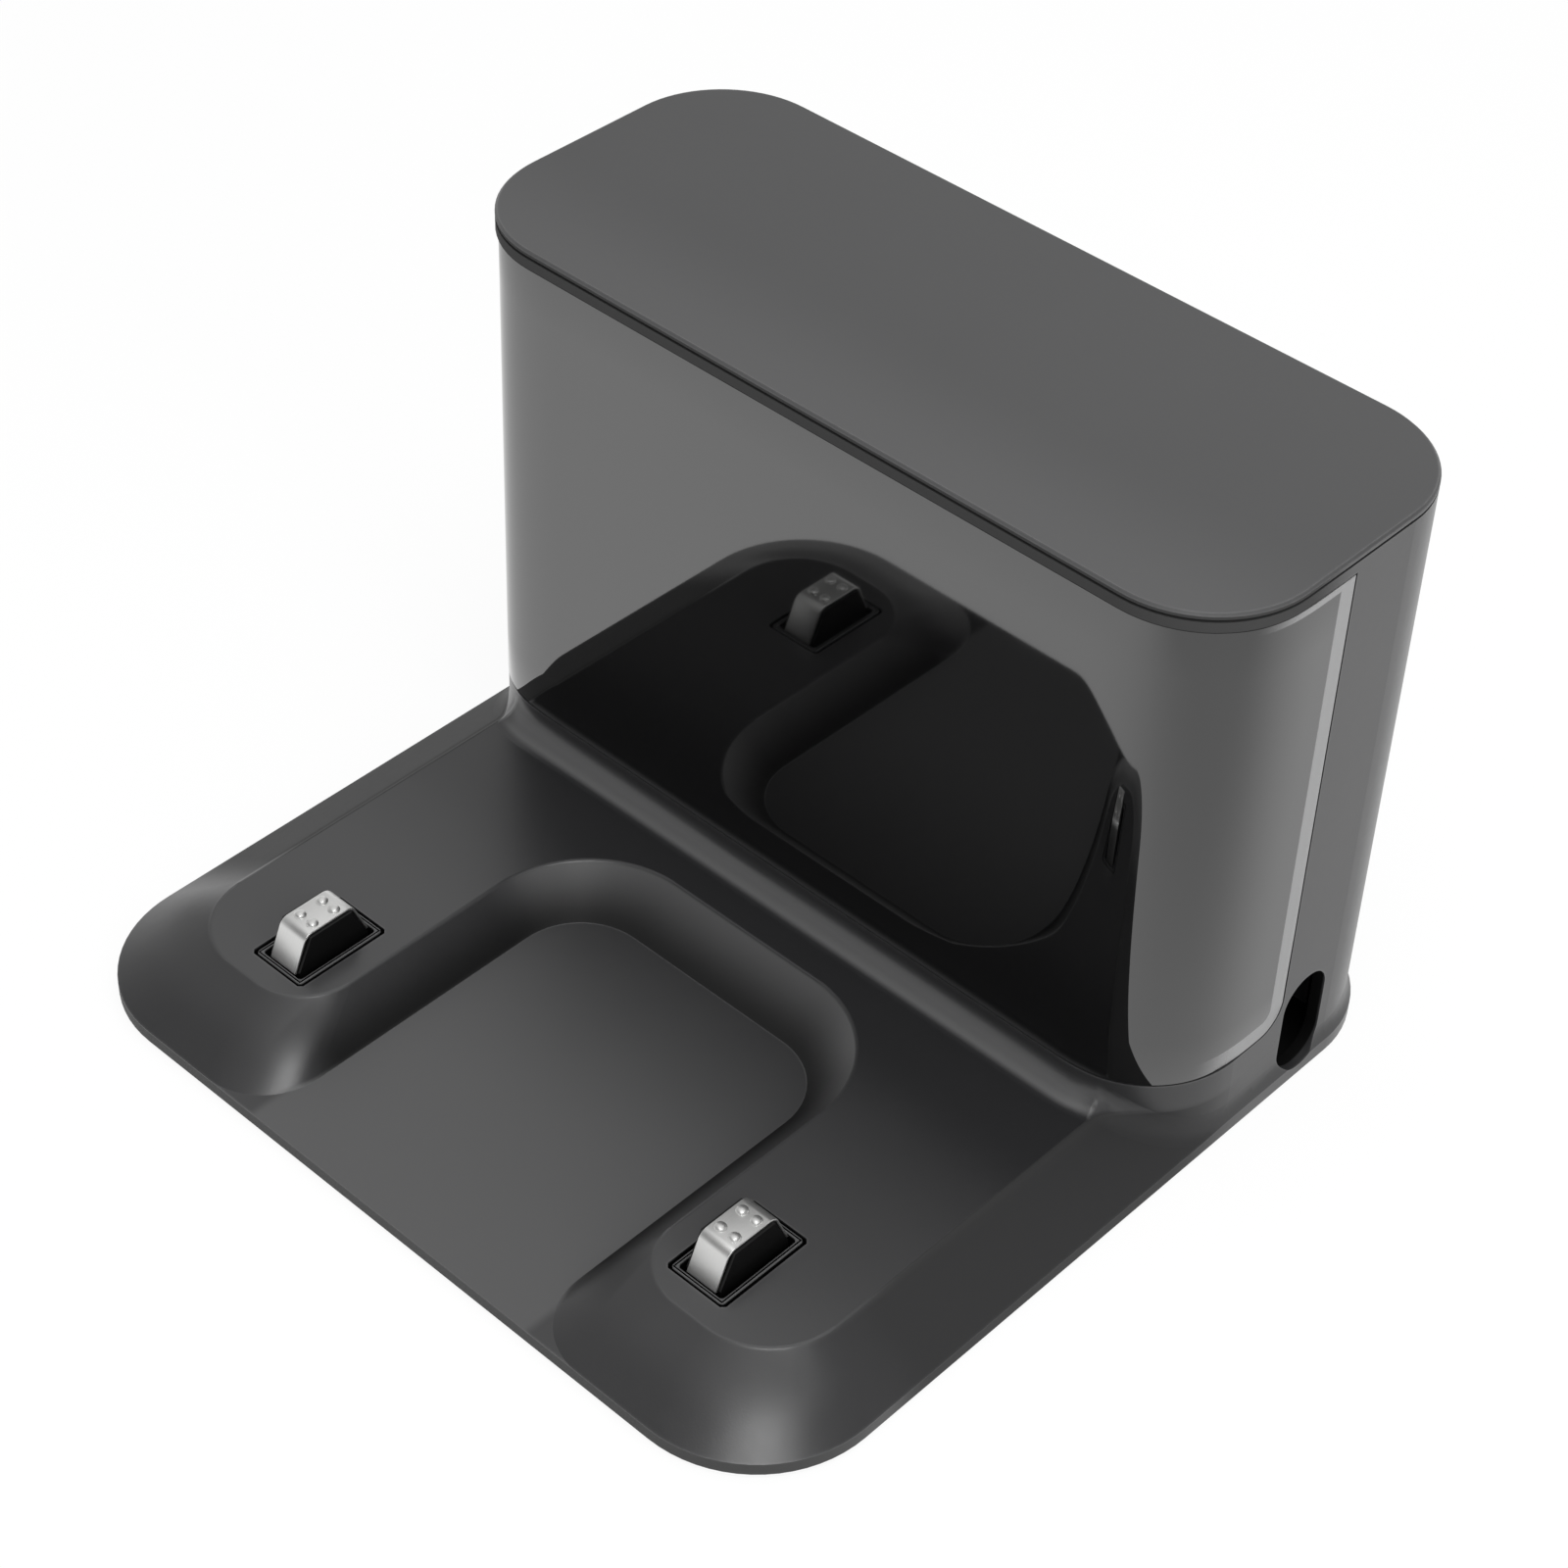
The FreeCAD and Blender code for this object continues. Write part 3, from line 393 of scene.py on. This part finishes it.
low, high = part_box("front_window")
CORNER = 18 * MM
SUPPORT = 6 * MM
SPARE = 3 * MM
WINDOW_WALL = 2 * MM
WINDOW_EDGE = 0.35 * MM
DRAFT = math.radians(0.5)
DRAFT_HEIGHT = 30 * MM
flat_half = high.x - CORNER
start = flat_half - 2 * SUPPORT
window = add_piece("front_window_shell", bpy.ops.mesh.primitive_plane_add, size=1,
                   location=(0, low.y, (low.z + high.z) / 2), rotation=(math.pi / 2, 0, 0))
bpy.ops.object.mode_set(mode="EDIT")
bpy.ops.transform.resize(value=(2 * start, 1, high.z - low.z + 2 * SPARE))
# The corner's points stand out past its radius, so that the smoothed shell comes back to it.
CORNER_STEP = math.pi / 8
reach = CORNER * 6 / (4 + 2 * math.cos(CORNER_STEP))
path = [(start, 0), (flat_half - SUPPORT, 0), (flat_half, 0)]
path += [(flat_half + reach * math.sin(turn * CORNER_STEP), CORNER - reach * math.cos(turn * CORNER_STEP))
         for turn in (1, 2, 3)]
path += [(high.x, CORNER), (high.x, CORNER + SUPPORT), (high.x, high.y - low.y + SPARE)]
for side in (-1, 1):
    pick(window, "EDGE", lambda spot: side * spot.x > 0)
    for (x, y), (next_x, next_y) in zip(path, path[1:]):
        extrude(side * (next_x - x), next_y - y, 0)
finish_with(window, "SUBSURF", levels=3, render_levels=3, boundary_smooth="PRESERVE_CORNERS")
bpy.ops.object.mode_set(mode="EDIT")
bpy.ops.mesh.select_all(action="SELECT")
bpy.ops.transform.rotate(value=DRAFT, orient_axis="X", center_override=(0, low.y, DRAFT_HEIGHT))
for place, outwards in ((low, (0, 0, -1)), (high, (0, 0, 1)), (high, (0, 1, 0))):
    trim(place, outwards)
ROUND = 5 * MM
ROUND_CUTS = 8
for turn in range(1, ROUND_CUTS + 1):
    angle = math.radians(90 * turn / (ROUND_CUTS + 1))
    outwards = Vector((0, math.cos(angle), -math.sin(angle)))
    trim(Vector((0, high.y - ROUND, low.z + ROUND)) + outwards * ROUND, outwards)
bpy.ops.mesh.select_all(action="SELECT")
bpy.ops.mesh.remove_doubles(threshold=NEAR)
finish_with(window, "SOLIDIFY", thickness=WINDOW_WALL, offset=-1)
round_edges(window, WINDOW_EDGE, 50)
smooth_below(40)

# The polished face, with a paler, rougher margin along its back, foot and top edges: a painted highlight.
MARGIN = 3.0 * MM
TOP_MARGIN = 1.0 * MM
MARGIN_BLUR = 0.3 * MM
material, tree = new_finish("window_gloss")
waves = noise(tree, 30 * MM, 1)
haze = noise(tree, 9 * MM, 3)
_, y, z = axes(tree)
past_back = tree.maths("MAXIMUM", y - (high.y - ROUND), 0.0)
past_foot = tree.maths("MAXIMUM", (low.z + ROUND) - z, 0.0)
from_edge = ROUND - tree.maths("POWER", past_back * past_back + past_foot * past_foot, 0.5)
margin_highlight = tree.maths("MAXIMUM", fade(from_edge, MARGIN + MARGIN_BLUR, MARGIN),
                    fade(z, high.z - TOP_MARGIN - MARGIN_BLUR, high.z - TOP_MARGIN))
margin_highlight = margin_highlight * step(y, 22, 31)
put_out(tree, tree.node("ShaderNodeBsdfPrincipled", None, {
    "Base Color": tint(margin_highlight, tint(haze, grey(0.001, 0.0001), grey(0.0016, 0.0001)), grey(0.2, 0.002)),
    "Roughness": haze * 0.02 + 0.02 + margin_highlight * 0.3, "IOR": 2.1, "Normal": relief(waves, 0.1, 0.01 * MM)}))
window.data.materials.append(material)
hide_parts("front_window")
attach(window, "dock")


# Top cover: a thin lid pressed onto the tower, with a shadow groove under its edge.
# The same ABS as the housing with a slightly finer, silkier grain.
# Painted shade: the cover's edge over the window is painted dark.
def edge_over_window_painted_shade(x, y, z):
    return step(z, 104.65, 104.5) * step(y, 42, 30)


# Painted light: the front part of the cover is painted paler.
def cover_front_painted_light(x, y, z):
    return step(y, 38, 13)


# The cover's paler edges are a painted highlight.
dress("top_cover", moulded_plastic(
    "cover_plastic_grain", grey(0.040), grey(0.049), rough=0.42, grain_depth=0.01 * MM, edge_highlight=grey(0.13),
    patches=[(cover_front_painted_light, 0.06, 0.42)], unlit=[(edge_over_window_painted_shade, 1, 0.045)]))


# Bottom plate: a flat moulded sheet that closes the base from below, held by four screws.
# Plain black ABS, coarser than the housing because nobody sees it.
# Painted shade: the deep places behind the cord slots are painted black.
def deep_behind_slots_painted_shade(x, y, z):
    return step(z, 1.6, 2.0) * step(z, 27, 24) * step(size_of(x), 56, 60)


dress("bottom_plate", moulded_plastic(
    "plate_plastic_grain", grey(0.026), grey(0.036), rough=0.55, grain_depth=0.03 * MM, grain_size=0.6 * MM,
    unlit=[(deep_behind_slots_painted_shade, 1, GAP_PAINTED_SHADE)]))

# Rubber feet: four soft discs glued under the plate.
# Black thermoplastic rubber, dull and a little dusty.
dress("rubber_feet", moulded_plastic(
    "foot_rubber_soft", grey(0.03, 0), grey(0.055, -0.001), rough=0.82, grain_depth=0.03 * MM, grain_size=0.5 * MM,
    gloss=0.3))


# Contact frames and carriers: a thin collar round each contact, and the block that slides in it.
# The collar is satin grey ABS, clipped under the plateau by a lip, with a gap on both of its sides, whose walls are
# painted black as painted shade. The block is smooth black plastic.
# Painted shade: the collar's walls below the plateau are painted black.
def down_in_gaps_painted_shade(x, y, z):
    return step(z, PLATEAU - 0.15, PLATEAU - 0.3)


frame_plastic = moulded_plastic("frame_plastic_satin", grey(0.06), grey(0.075), rough=0.4, grain_depth=0.006 * MM,
                                unlit=[(down_in_gaps_painted_shade, 1, GAP_PAINTED_SHADE)])
carrier_plastic = moulded_plastic("carrier_plastic_smooth", grey(0.002, 0), grey(0.004, 0), rough=0.4,
                                  grain_depth=0.003 * MM, gloss=0.3)
COLLAR_WIDTH = 10.3 * MM
COLLAR_LENGTH = 17.0 * MM
COLLAR_WALL = 0.75 * MM
COLLAR_CORNER = 0.7 * MM
COLLAR_EDGE = 0.15 * MM
LIP = 0.9 * MM
for side in ("left", "right"):
    dress(f"contact_carrier_{side}", carrier_plastic)
    low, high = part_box(f"contact_frame_{side}")
    middle = (low + high) / 2
    collar = add_piece(f"contact_frame_{side}_collar", bpy.ops.mesh.primitive_plane_add, size=1,
                       location=(middle.x, middle.y, low.z))
    bpy.ops.object.mode_set(mode="EDIT")
    bpy.ops.mesh.select_mode(type="FACE")
    bpy.ops.mesh.select_all(action="SELECT")
    bpy.ops.transform.resize(value=(high.x - low.x, high.y - low.y, 1))
    shoulder = (high.x - low.x - COLLAR_WIDTH) / 2
    bpy.ops.mesh.inset(thickness=shoulder)
    bpy.ops.transform.resize(value=(1, COLLAR_LENGTH / (high.y - low.y - 2 * shoulder), 1))
    bpy.ops.mesh.inset(thickness=COLLAR_WALL)
    bpy.ops.mesh.delete(type="FACE")
    bpy.ops.mesh.select_all(action="SELECT")
    extrude(0, 0, LIP)
    in_collar = COLLAR_WIDTH / 2 + NEAR
    pick(collar, "FACE", lambda spot: spot.z > low.z + LIP / 2 and abs(spot.x - middle.x) < in_collar)
    extrude(0, 0, high.z - low.z - LIP)
    pick(collar, "EDGE", lambda spot: abs(spot.x - middle.x) < in_collar, 2)
    bpy.ops.mesh.bevel(offset=COLLAR_CORNER, segments=5, affect="EDGES")
    bpy.ops.mesh.select_all(action="SELECT")
    bpy.ops.mesh.remove_doubles(threshold=NEAR)
    bpy.ops.mesh.normals_make_consistent(inside=False)
    round_edges(collar, COLLAR_EDGE, 60)
    smooth_below(35)
    collar.data.materials.append(frame_plastic)
    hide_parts(f"contact_frame_{side}")
    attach(collar, "dock")


# Contact straps and the inlet's pins: bent strip and drawn wire, both nickel plated.
# Each strap has the fine lines of the rolled strip and four bumps pressed up in it, and is
# clipped over its block.
def rolled_metal(name, dark, light, rough, stretch):
    """Plated metal with fine rolling lines that run along one axis."""
    material, tree = new_finish(name)
    lines = noise(tree, 0.12 * MM, 2, stretch)
    stains = noise(tree, 2.5 * MM, 3)
    put_out(tree, tree.node("ShaderNodeBsdfPrincipled", None, {
        "Base Color": tint(lines * 0.5 + stains * 0.5, dark, light), "Metallic": 1.0,
        "Roughness": stains * 0.1 + lines * 0.08 + (rough - 0.09), "Normal": relief(lines, 0.3, 0.002 * MM)}))
    return material


def bent_strip(name, low, high, crown, leg):
    """A strip bent over a box: a flat crown, and at each end a leg of straight runs, outward and up."""
    middle = (low + high) / 2
    strip = add_piece(name, bpy.ops.mesh.primitive_plane_add, size=1, location=(middle.x, middle.y, high.z))
    bpy.ops.object.mode_set(mode="EDIT")
    bpy.ops.transform.resize(value=(high.x - low.x, crown, 1))
    for end in (-1, 1):
        edge = middle.y + end * crown / 2
        pick(strip, "EDGE", lambda spot: abs(spot.y - edge) < NEAR)
        for outward, up in leg:
            extrude(0, end * outward, up)
    return strip


ROLLED_ACROSS = (1, 0.05, 0.05)
nickel = rolled_metal("contact_nickel", grey(0.68, -0.01), grey(0.82, -0.01), 0.42, ROLLED_ACROSS)
STRAP_STRIP = 0.45 * MM
STRAP_EDGE = 0.16 * MM
STRAP_BEND = 2.2 * MM
STRAP_FOOT = 0.3 * MM
CROWN = 9.6 * MM
BUMP_SIZE = 2.0 * MM
BUMP_HEIGHT = 0.5 * MM
BUMP_ACROSS = 1.4 * MM
BUMP_ALONG = 2.2 * MM
BUMP_CUT = 0.05 * MM
BUMP_SKIRT = 0.06 * MM
BUMP_FLARE = 1.16
for side in ("left", "right"):
    low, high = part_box(f"contact_strap_{side}")
    middle = (low + high) / 2
    strap = bent_strip(f"contact_strap_{side}_bent", low, high, CROWN, [
        ((high.y - low.y - CROWN) / 2, low.z - high.z + STRAP_FOOT), (0, -STRAP_FOOT)])
    pick(strap, "EDGE", lambda spot: abs(spot.z - high.z) < NEAR and abs(spot.y - middle.y) > CROWN / 2 - NEAR, 0)
    bpy.ops.mesh.bevel(offset=STRAP_BEND, offset_type="WIDTH", segments=8, affect="EDGES")
    finish_with(strap, "SOLIDIFY", thickness=STRAP_STRIP, offset=-1)
    round_edges(strap, STRAP_EDGE, 60)
    bumps = []
    for across in (-BUMP_ACROSS, BUMP_ACROSS):
        for along in (-BUMP_ALONG, BUMP_ALONG):
            bump = add_piece("bump", bpy.ops.mesh.primitive_uv_sphere_add, segments=24, ring_count=16,
                             radius=BUMP_SIZE / 2, location=(middle.x + across, middle.y + along, high.z))
            bpy.ops.object.mode_set(mode="EDIT")
            bpy.ops.transform.resize(value=(1, 1, BUMP_HEIGHT / (BUMP_SIZE / 2)))
            trim((0, 0, high.z + BUMP_CUT), (0, 0, -1))
            pick(bump, "EDGE", lambda spot: spot.z < high.z + BUMP_CUT + 0.1 * NEAR)
            extrude(0, 0, -BUMP_SKIRT)
            bpy.ops.transform.resize(value=(BUMP_FLARE, BUMP_FLARE, 1))
            bpy.ops.object.mode_set(mode="OBJECT")
            bumps.append(bump)
    take(strap)
    for bump in bumps:
        bump.select_set(True)
    bpy.ops.object.join()
    smooth_below(35)
    strap.data.materials.append(nickel)
    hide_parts(f"contact_strap_{side}")
    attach(strap, f"contact_{side}")
dress("inlet_pins", rolled_metal("pin_plated", (0.6, 0.57, 0.48), (0.76, 0.72, 0.6), 0.25, (0.3, 0.3, 0.05)))

# Contact springs: a bow of spring steel strip under each contact's block.
# Stamped, bent and tempered. Its feet stand on the bottom plate, and the block presses down on it.
spring_steel = rolled_metal("spring_steel_plain", (0.4, 0.4, 0.41), (0.56, 0.56, 0.56), 0.35, ROLLED_ACROSS)
SPRING_STRIP = 0.3 * MM
SPRING_CROWN = 4.3 * MM
SPRING_FOOT = 1.6 * MM
SPRING_BEND = 0.8 * MM
for side in ("left", "right"):
    low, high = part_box(f"contact_spring_{side}")
    middle = (low + high) / 2
    half_length = (high.y - low.y) / 2
    spring = bent_strip(f"contact_spring_{side}_bow", low, high, SPRING_CROWN, [
        (half_length - SPRING_FOOT - SPRING_CROWN / 2, low.z + SPRING_STRIP - high.z), (SPRING_FOOT, 0)])
    pick(spring, "EDGE", lambda spot: abs(spot.y - middle.y) < half_length - NEAR, 0)
    bpy.ops.mesh.bevel(offset=SPRING_BEND, offset_type="WIDTH", segments=6, affect="EDGES")
    bpy.ops.mesh.select_all(action="SELECT")
    bpy.ops.mesh.normals_make_consistent(inside=False)
    finish_with(spring, "SOLIDIFY", thickness=SPRING_STRIP, offset=-1)
    smooth_below(35)
    spring.data.materials.append(spring_steel)
    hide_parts(f"contact_spring_{side}")
    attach(spring, "dock")
    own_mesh(spring)

# Base screws: four pan-head screws that hold the bottom plate to the housing.
# Cold-headed steel with a cross recess, plated and a little scuffed.
HEAD = 5 * MM
HEAD_HEIGHT = 0.5 * MM
HEAD_ROUND = 0.28 * MM
CROSS_LENGTH = 2.9
CROSS_WIDTH = 0.7
CROSS_EDGE = 0.1 * MM
plate_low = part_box("bottom_plate")[0].z
screw_places = [(side * across * MM, along * MM) for side in (-1, 1) for across, along in ((52, -23.5), (65, 62.5))]
start_x, start_y = screw_places[0]
screw = add_piece("base_screw_1", bpy.ops.mesh.primitive_cylinder_add, vertices=32, radius=HEAD / 2,
                  depth=HEAD_HEIGHT, location=(start_x, start_y, plate_low - HEAD_HEIGHT / 2))
pick(screw, "EDGE", lambda spot: spot.z < plate_low - HEAD_HEIGHT + NEAR)
bpy.ops.mesh.bevel(offset=HEAD_ROUND, segments=4, affect="EDGES")
# Each bar of the cross starts as a cube of a millimetre, so its lengths are given in millimetres.
for length, width in ((CROSS_LENGTH, CROSS_WIDTH), (CROSS_WIDTH, CROSS_LENGTH)):
    bar = add_piece("cross_bar", bpy.ops.mesh.primitive_cube_add, size=MM,
                    location=(start_x, start_y, plate_low - HEAD_HEIGHT))
    bpy.ops.object.mode_set(mode="EDIT")
    bpy.ops.transform.resize(value=(length, width, CROSS_WIDTH))
    finish_with(bar, "BEVEL", width=CROSS_EDGE, segments=2)
    finish_with(screw, "BOOLEAN", object=bar, operation="DIFFERENCE", solver="EXACT")
    bpy.data.objects.remove(bar)
screws = [screw]
for number, (x, y) in enumerate(screw_places[1:], 2):
    take(screw)
    bpy.ops.object.duplicate()
    twin = bpy.context.object
    twin.name = f"base_screw_{number}"
    bpy.ops.transform.translate(value=(x - start_x, y - start_y, 0))
    bpy.ops.object.transform_apply(location=True, rotation=True, scale=True)
    screws.append(twin)
for head in screws:
    take(head)
    smooth_below(30)
    head.data.materials.append(spring_steel)
    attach(head, "dock")

# Inner chassis and mains inlet: the walls of the cable bay and the socket in its ceiling.
# Plain black mouldings, the chassis screwed in from below and the inlet clipped into it.
# The chassis, too, is painted black behind the slots, as painted shade.
dress("inner_chassis", moulded_plastic(
    "chassis_plastic_plain", grey(0.032, 0.002), grey(0.045, 0.002), rough=0.5, grain_depth=0.02 * MM,
    grain_size=0.5 * MM, unlit=[(deep_behind_slots_painted_shade, 1, GAP_PAINTED_SHADE)]))
dress("power_inlet", moulded_plastic(
    "inlet_plastic_smooth", grey(0.012, 0), grey(0.02, 0), rough=0.35, grain_depth=0.006 * MM))

# Power board and beacon board: glass laminate with green solder resist.
# The copper under the resist shows as paler tracks, and the boards rest on rails and ribs.
TRACK_PITCH = 5 * MM
material, tree = new_finish("board_resist")
cells = tree.node("ShaderNodeTexVoronoi", {"feature": "F1", "distance": "CHEBYCHEV"},
                  {"Vector": on_piece(tree), "Scale": 1 / TRACK_PITCH}, "Distance")
tracks = tree.node("ShaderNodeValToRGB", {
    "stops": [(0.0, 0), (0.44, 0), (0.48, 1), (0.6, 1), (0.64, 0), (1.0, 0)]}, {"Fac": cells})
put_out(tree, tree.node("ShaderNodeBsdfPrincipled", None, {
    "Base Color": tint(tracks, (0.012, 0.075, 0.03), (0.03, 0.15, 0.06)),
    "Roughness": noise(tree, 3 * MM) * 0.1 + 0.22, "Normal": relief(tracks, 0.4, 0.03 * MM)}))
dress("power_board", material)
dress("beacon_board", material)

# Transformer: a taped winding on a ferrite core, soldered to the power board.
# Yellow polyester tape in overlapping turns, and dark sintered ferrite.
material, tree = new_finish("transformer_tape_turns")
turns = tree.node("ShaderNodeTexWave", {"bands_direction": "Z"},
                  {"Vector": on_piece(tree), "Scale": 90.0, "Distortion": 0.4, "Detail": 1.0}, "Fac")
put_out(tree, tree.node("ShaderNodeBsdfPrincipled", None, {
    "Base Color": tint(turns, (0.45, 0.32, 0.04), (0.62, 0.47, 0.07)),
    "Roughness": turns * 0.1 + 0.3, "Normal": relief(turns, 0.4, 0.05 * MM)}))
dress("transformer", material)

# Mains capacitor: an aluminium can in a dark shrunk sleeve, standing on the power board.
# The sleeve is thin film, glossy, with small wrinkles from shrinking.
material, tree = new_finish("capacitor_sleeve")
wrinkles = noise(tree, 1.6 * MM, 3, (1, 1, 0.3))
put_out(tree, tree.node("ShaderNodeBsdfPrincipled", None, {
    "Base Color": tint(wrinkles, (0.012, 0.016, 0.03), (0.02, 0.026, 0.045)),
    "Roughness": wrinkles * 0.12 + 0.18, "Normal": relief(wrinkles, 0.3, 0.04 * MM)}))
dress("bulk_capacitor", material)

# Beam shroud and infrared emitters: they shape the beam that guides the robot home.
# The shroud is matte black plastic, and the emitters are small blocks of tinted clear resin.
dress("beam_shroud", moulded_plastic(
    "shroud_plastic_black", grey(0.008, 0), grey(0.014, 0), rough=0.6, grain_depth=0.015 * MM))
material, tree = new_finish("emitter_resin_tinted")
swirl = noise(tree, 1.5 * MM, 2)
put_out(tree, tree.node("ShaderNodeBsdfPrincipled", None, {
    "Base Color": tint(swirl, (0.12, 0.12, 0.2), (0.2, 0.2, 0.3)), "Roughness": swirl * 0.05 + 0.08}))
dress("infrared_emitters", material)


# Floor and room: a plain pale studio sheet under the dock, and a white room round it.
# The camera sees both as plain white, and the floor keeps a soft shadow. In the gloss, some
# parts of the room are darker.
def rays(tree):
    """Which rays come from the camera, from gloss and through clear pieces."""
    return [tree.node("ShaderNodeLightPath", None, None, f"Is {kind} Ray")
            for kind in ("Camera", "Glossy", "Transmission")]


FLOOR_SIZE = 6
FLOOR_WHITE = 0.92
floor = add_piece("studio_floor", bpy.ops.mesh.primitive_plane_add, size=FLOOR_SIZE)
material, tree = new_finish("studio_floor_white")
seen, mirrored, through = rays(tree)
sheet = tree.node("ShaderNodeBsdfDiffuse", None, {"Color": (*grey(0.9, 0), 1)})
x, y, _ = axes(tree)
beside = mirrored * step(x, -20, 160) * step(y, 160, -10)
white = tree.node("ShaderNodeEmission", None, {"Color": tint(beside, grey(1, 0), grey(0.68, 0)), "Strength": 1.0})
put_out(tree, tree.node("ShaderNodeMixShader", None, {
    0: seen * FLOOR_WHITE + mirrored + through, 1: sheet, 2: white}))
floor.data.materials.append(material)

world = bpy.data.worlds.new("studio_room")
bpy.context.scene.world = world
world.use_nodes = True
world.node_tree.nodes.clear()
tree = Shade(world.node_tree)
seen, mirrored, through = rays(tree)
ROOM_LIGHT = 0.5
way = tree.node("ShaderNodeTexCoord", None, None, "Generated")
across, along, up = (tree.node("ShaderNodeSeparateXYZ", None, {"Vector": way}, axis) for axis in "XYZ")
DARK_IN_FRONT = 0.85
DARK_AT_RIGHT = 0.75
DARK_AT_LEFT = 0.45
in_front = fade(up, 0.25, 0.55) * fade(along, 0.1, -0.55) * DARK_IN_FRONT
at_right = fade(up, 0.2, 0.45) * fade(across, -0.1, 0.45) * DARK_AT_RIGHT
at_left = fade(up, 0.15, 0.35) * fade(across, -0.35, -0.75) * DARK_AT_LEFT
shown = (1 - in_front) * (1 - at_right) * (1 - at_left)
room = tree.node("ShaderNodeBackground", None, {
    "Color": (1, 1, 1, 1),
    "Strength": seen + (1 - seen) * ((mirrored + through) * (shown - ROOM_LIGHT) + ROOM_LIGHT)})
tree.node("ShaderNodeOutputWorld", None, {"Surface": room})


# Studio lamps: two broad soft boxes and two small ones, above the dock.
# They are out of the camera's sight, and only the small ones show in the gloss.
def soft_box(name, place, target, size, power, glints=False):
    """Hang a square lamp at a place and turn it to its target."""
    lamp = bpy.data.lights.new(name, "AREA")
    lamp.shape = "SQUARE"
    lamp.size = size
    lamp.energy = power
    holder = bpy.data.objects.new(name, lamp)
    holder.location = place
    holder.rotation_euler = (Vector(place) - Vector(target)).to_track_quat("Z", "Y").to_euler()
    holder.visible_glossy = glints
    bpy.context.scene.collection.objects.link(holder)


soft_box("overhead_box", (0.1, 0.1, 0.9), (0, 0, 0.03), size=0.7, power=3.4)
soft_box("right_box", (0.8, -0.1, 0.5), (0, 0, 0.05), size=0.5, power=2.6)
soft_box("small_box", (0.217, -0.164, 0.9), (0.07, -0.068, 0.0), size=0.3, power=1.9, glints=True)
soft_box("camera_side_box", (0.5, -0.5, 0.56), (-0.02, -0.02, 0.0), size=0.16, power=0.6, glints=True)

# Camera: at the photograph's angle, from the front right and above.
# A long lens, tipped a little to one side as the photograph is.
camera_data = bpy.data.cameras.new("photo_camera")
camera_data.lens = 80.47
camera_data.sensor_width = 36
camera_data.clip_start = 0.01
camera = bpy.data.objects.new("photo_camera", camera_data)
camera.location = (0.26995, -0.28968, 0.39223)
yaw, pitch, roll = math.radians(41.98), math.radians(41.44), math.radians(2.13)
level = Euler((math.pi / 2 - pitch, 0, yaw)).to_matrix()
camera.rotation_euler = (level @ Matrix.Rotation(roll, 3, "Z")).to_euler()
bpy.context.scene.collection.objects.link(camera)
bpy.context.scene.camera = camera
bpy.context.scene.view_settings.view_transform = "Standard"
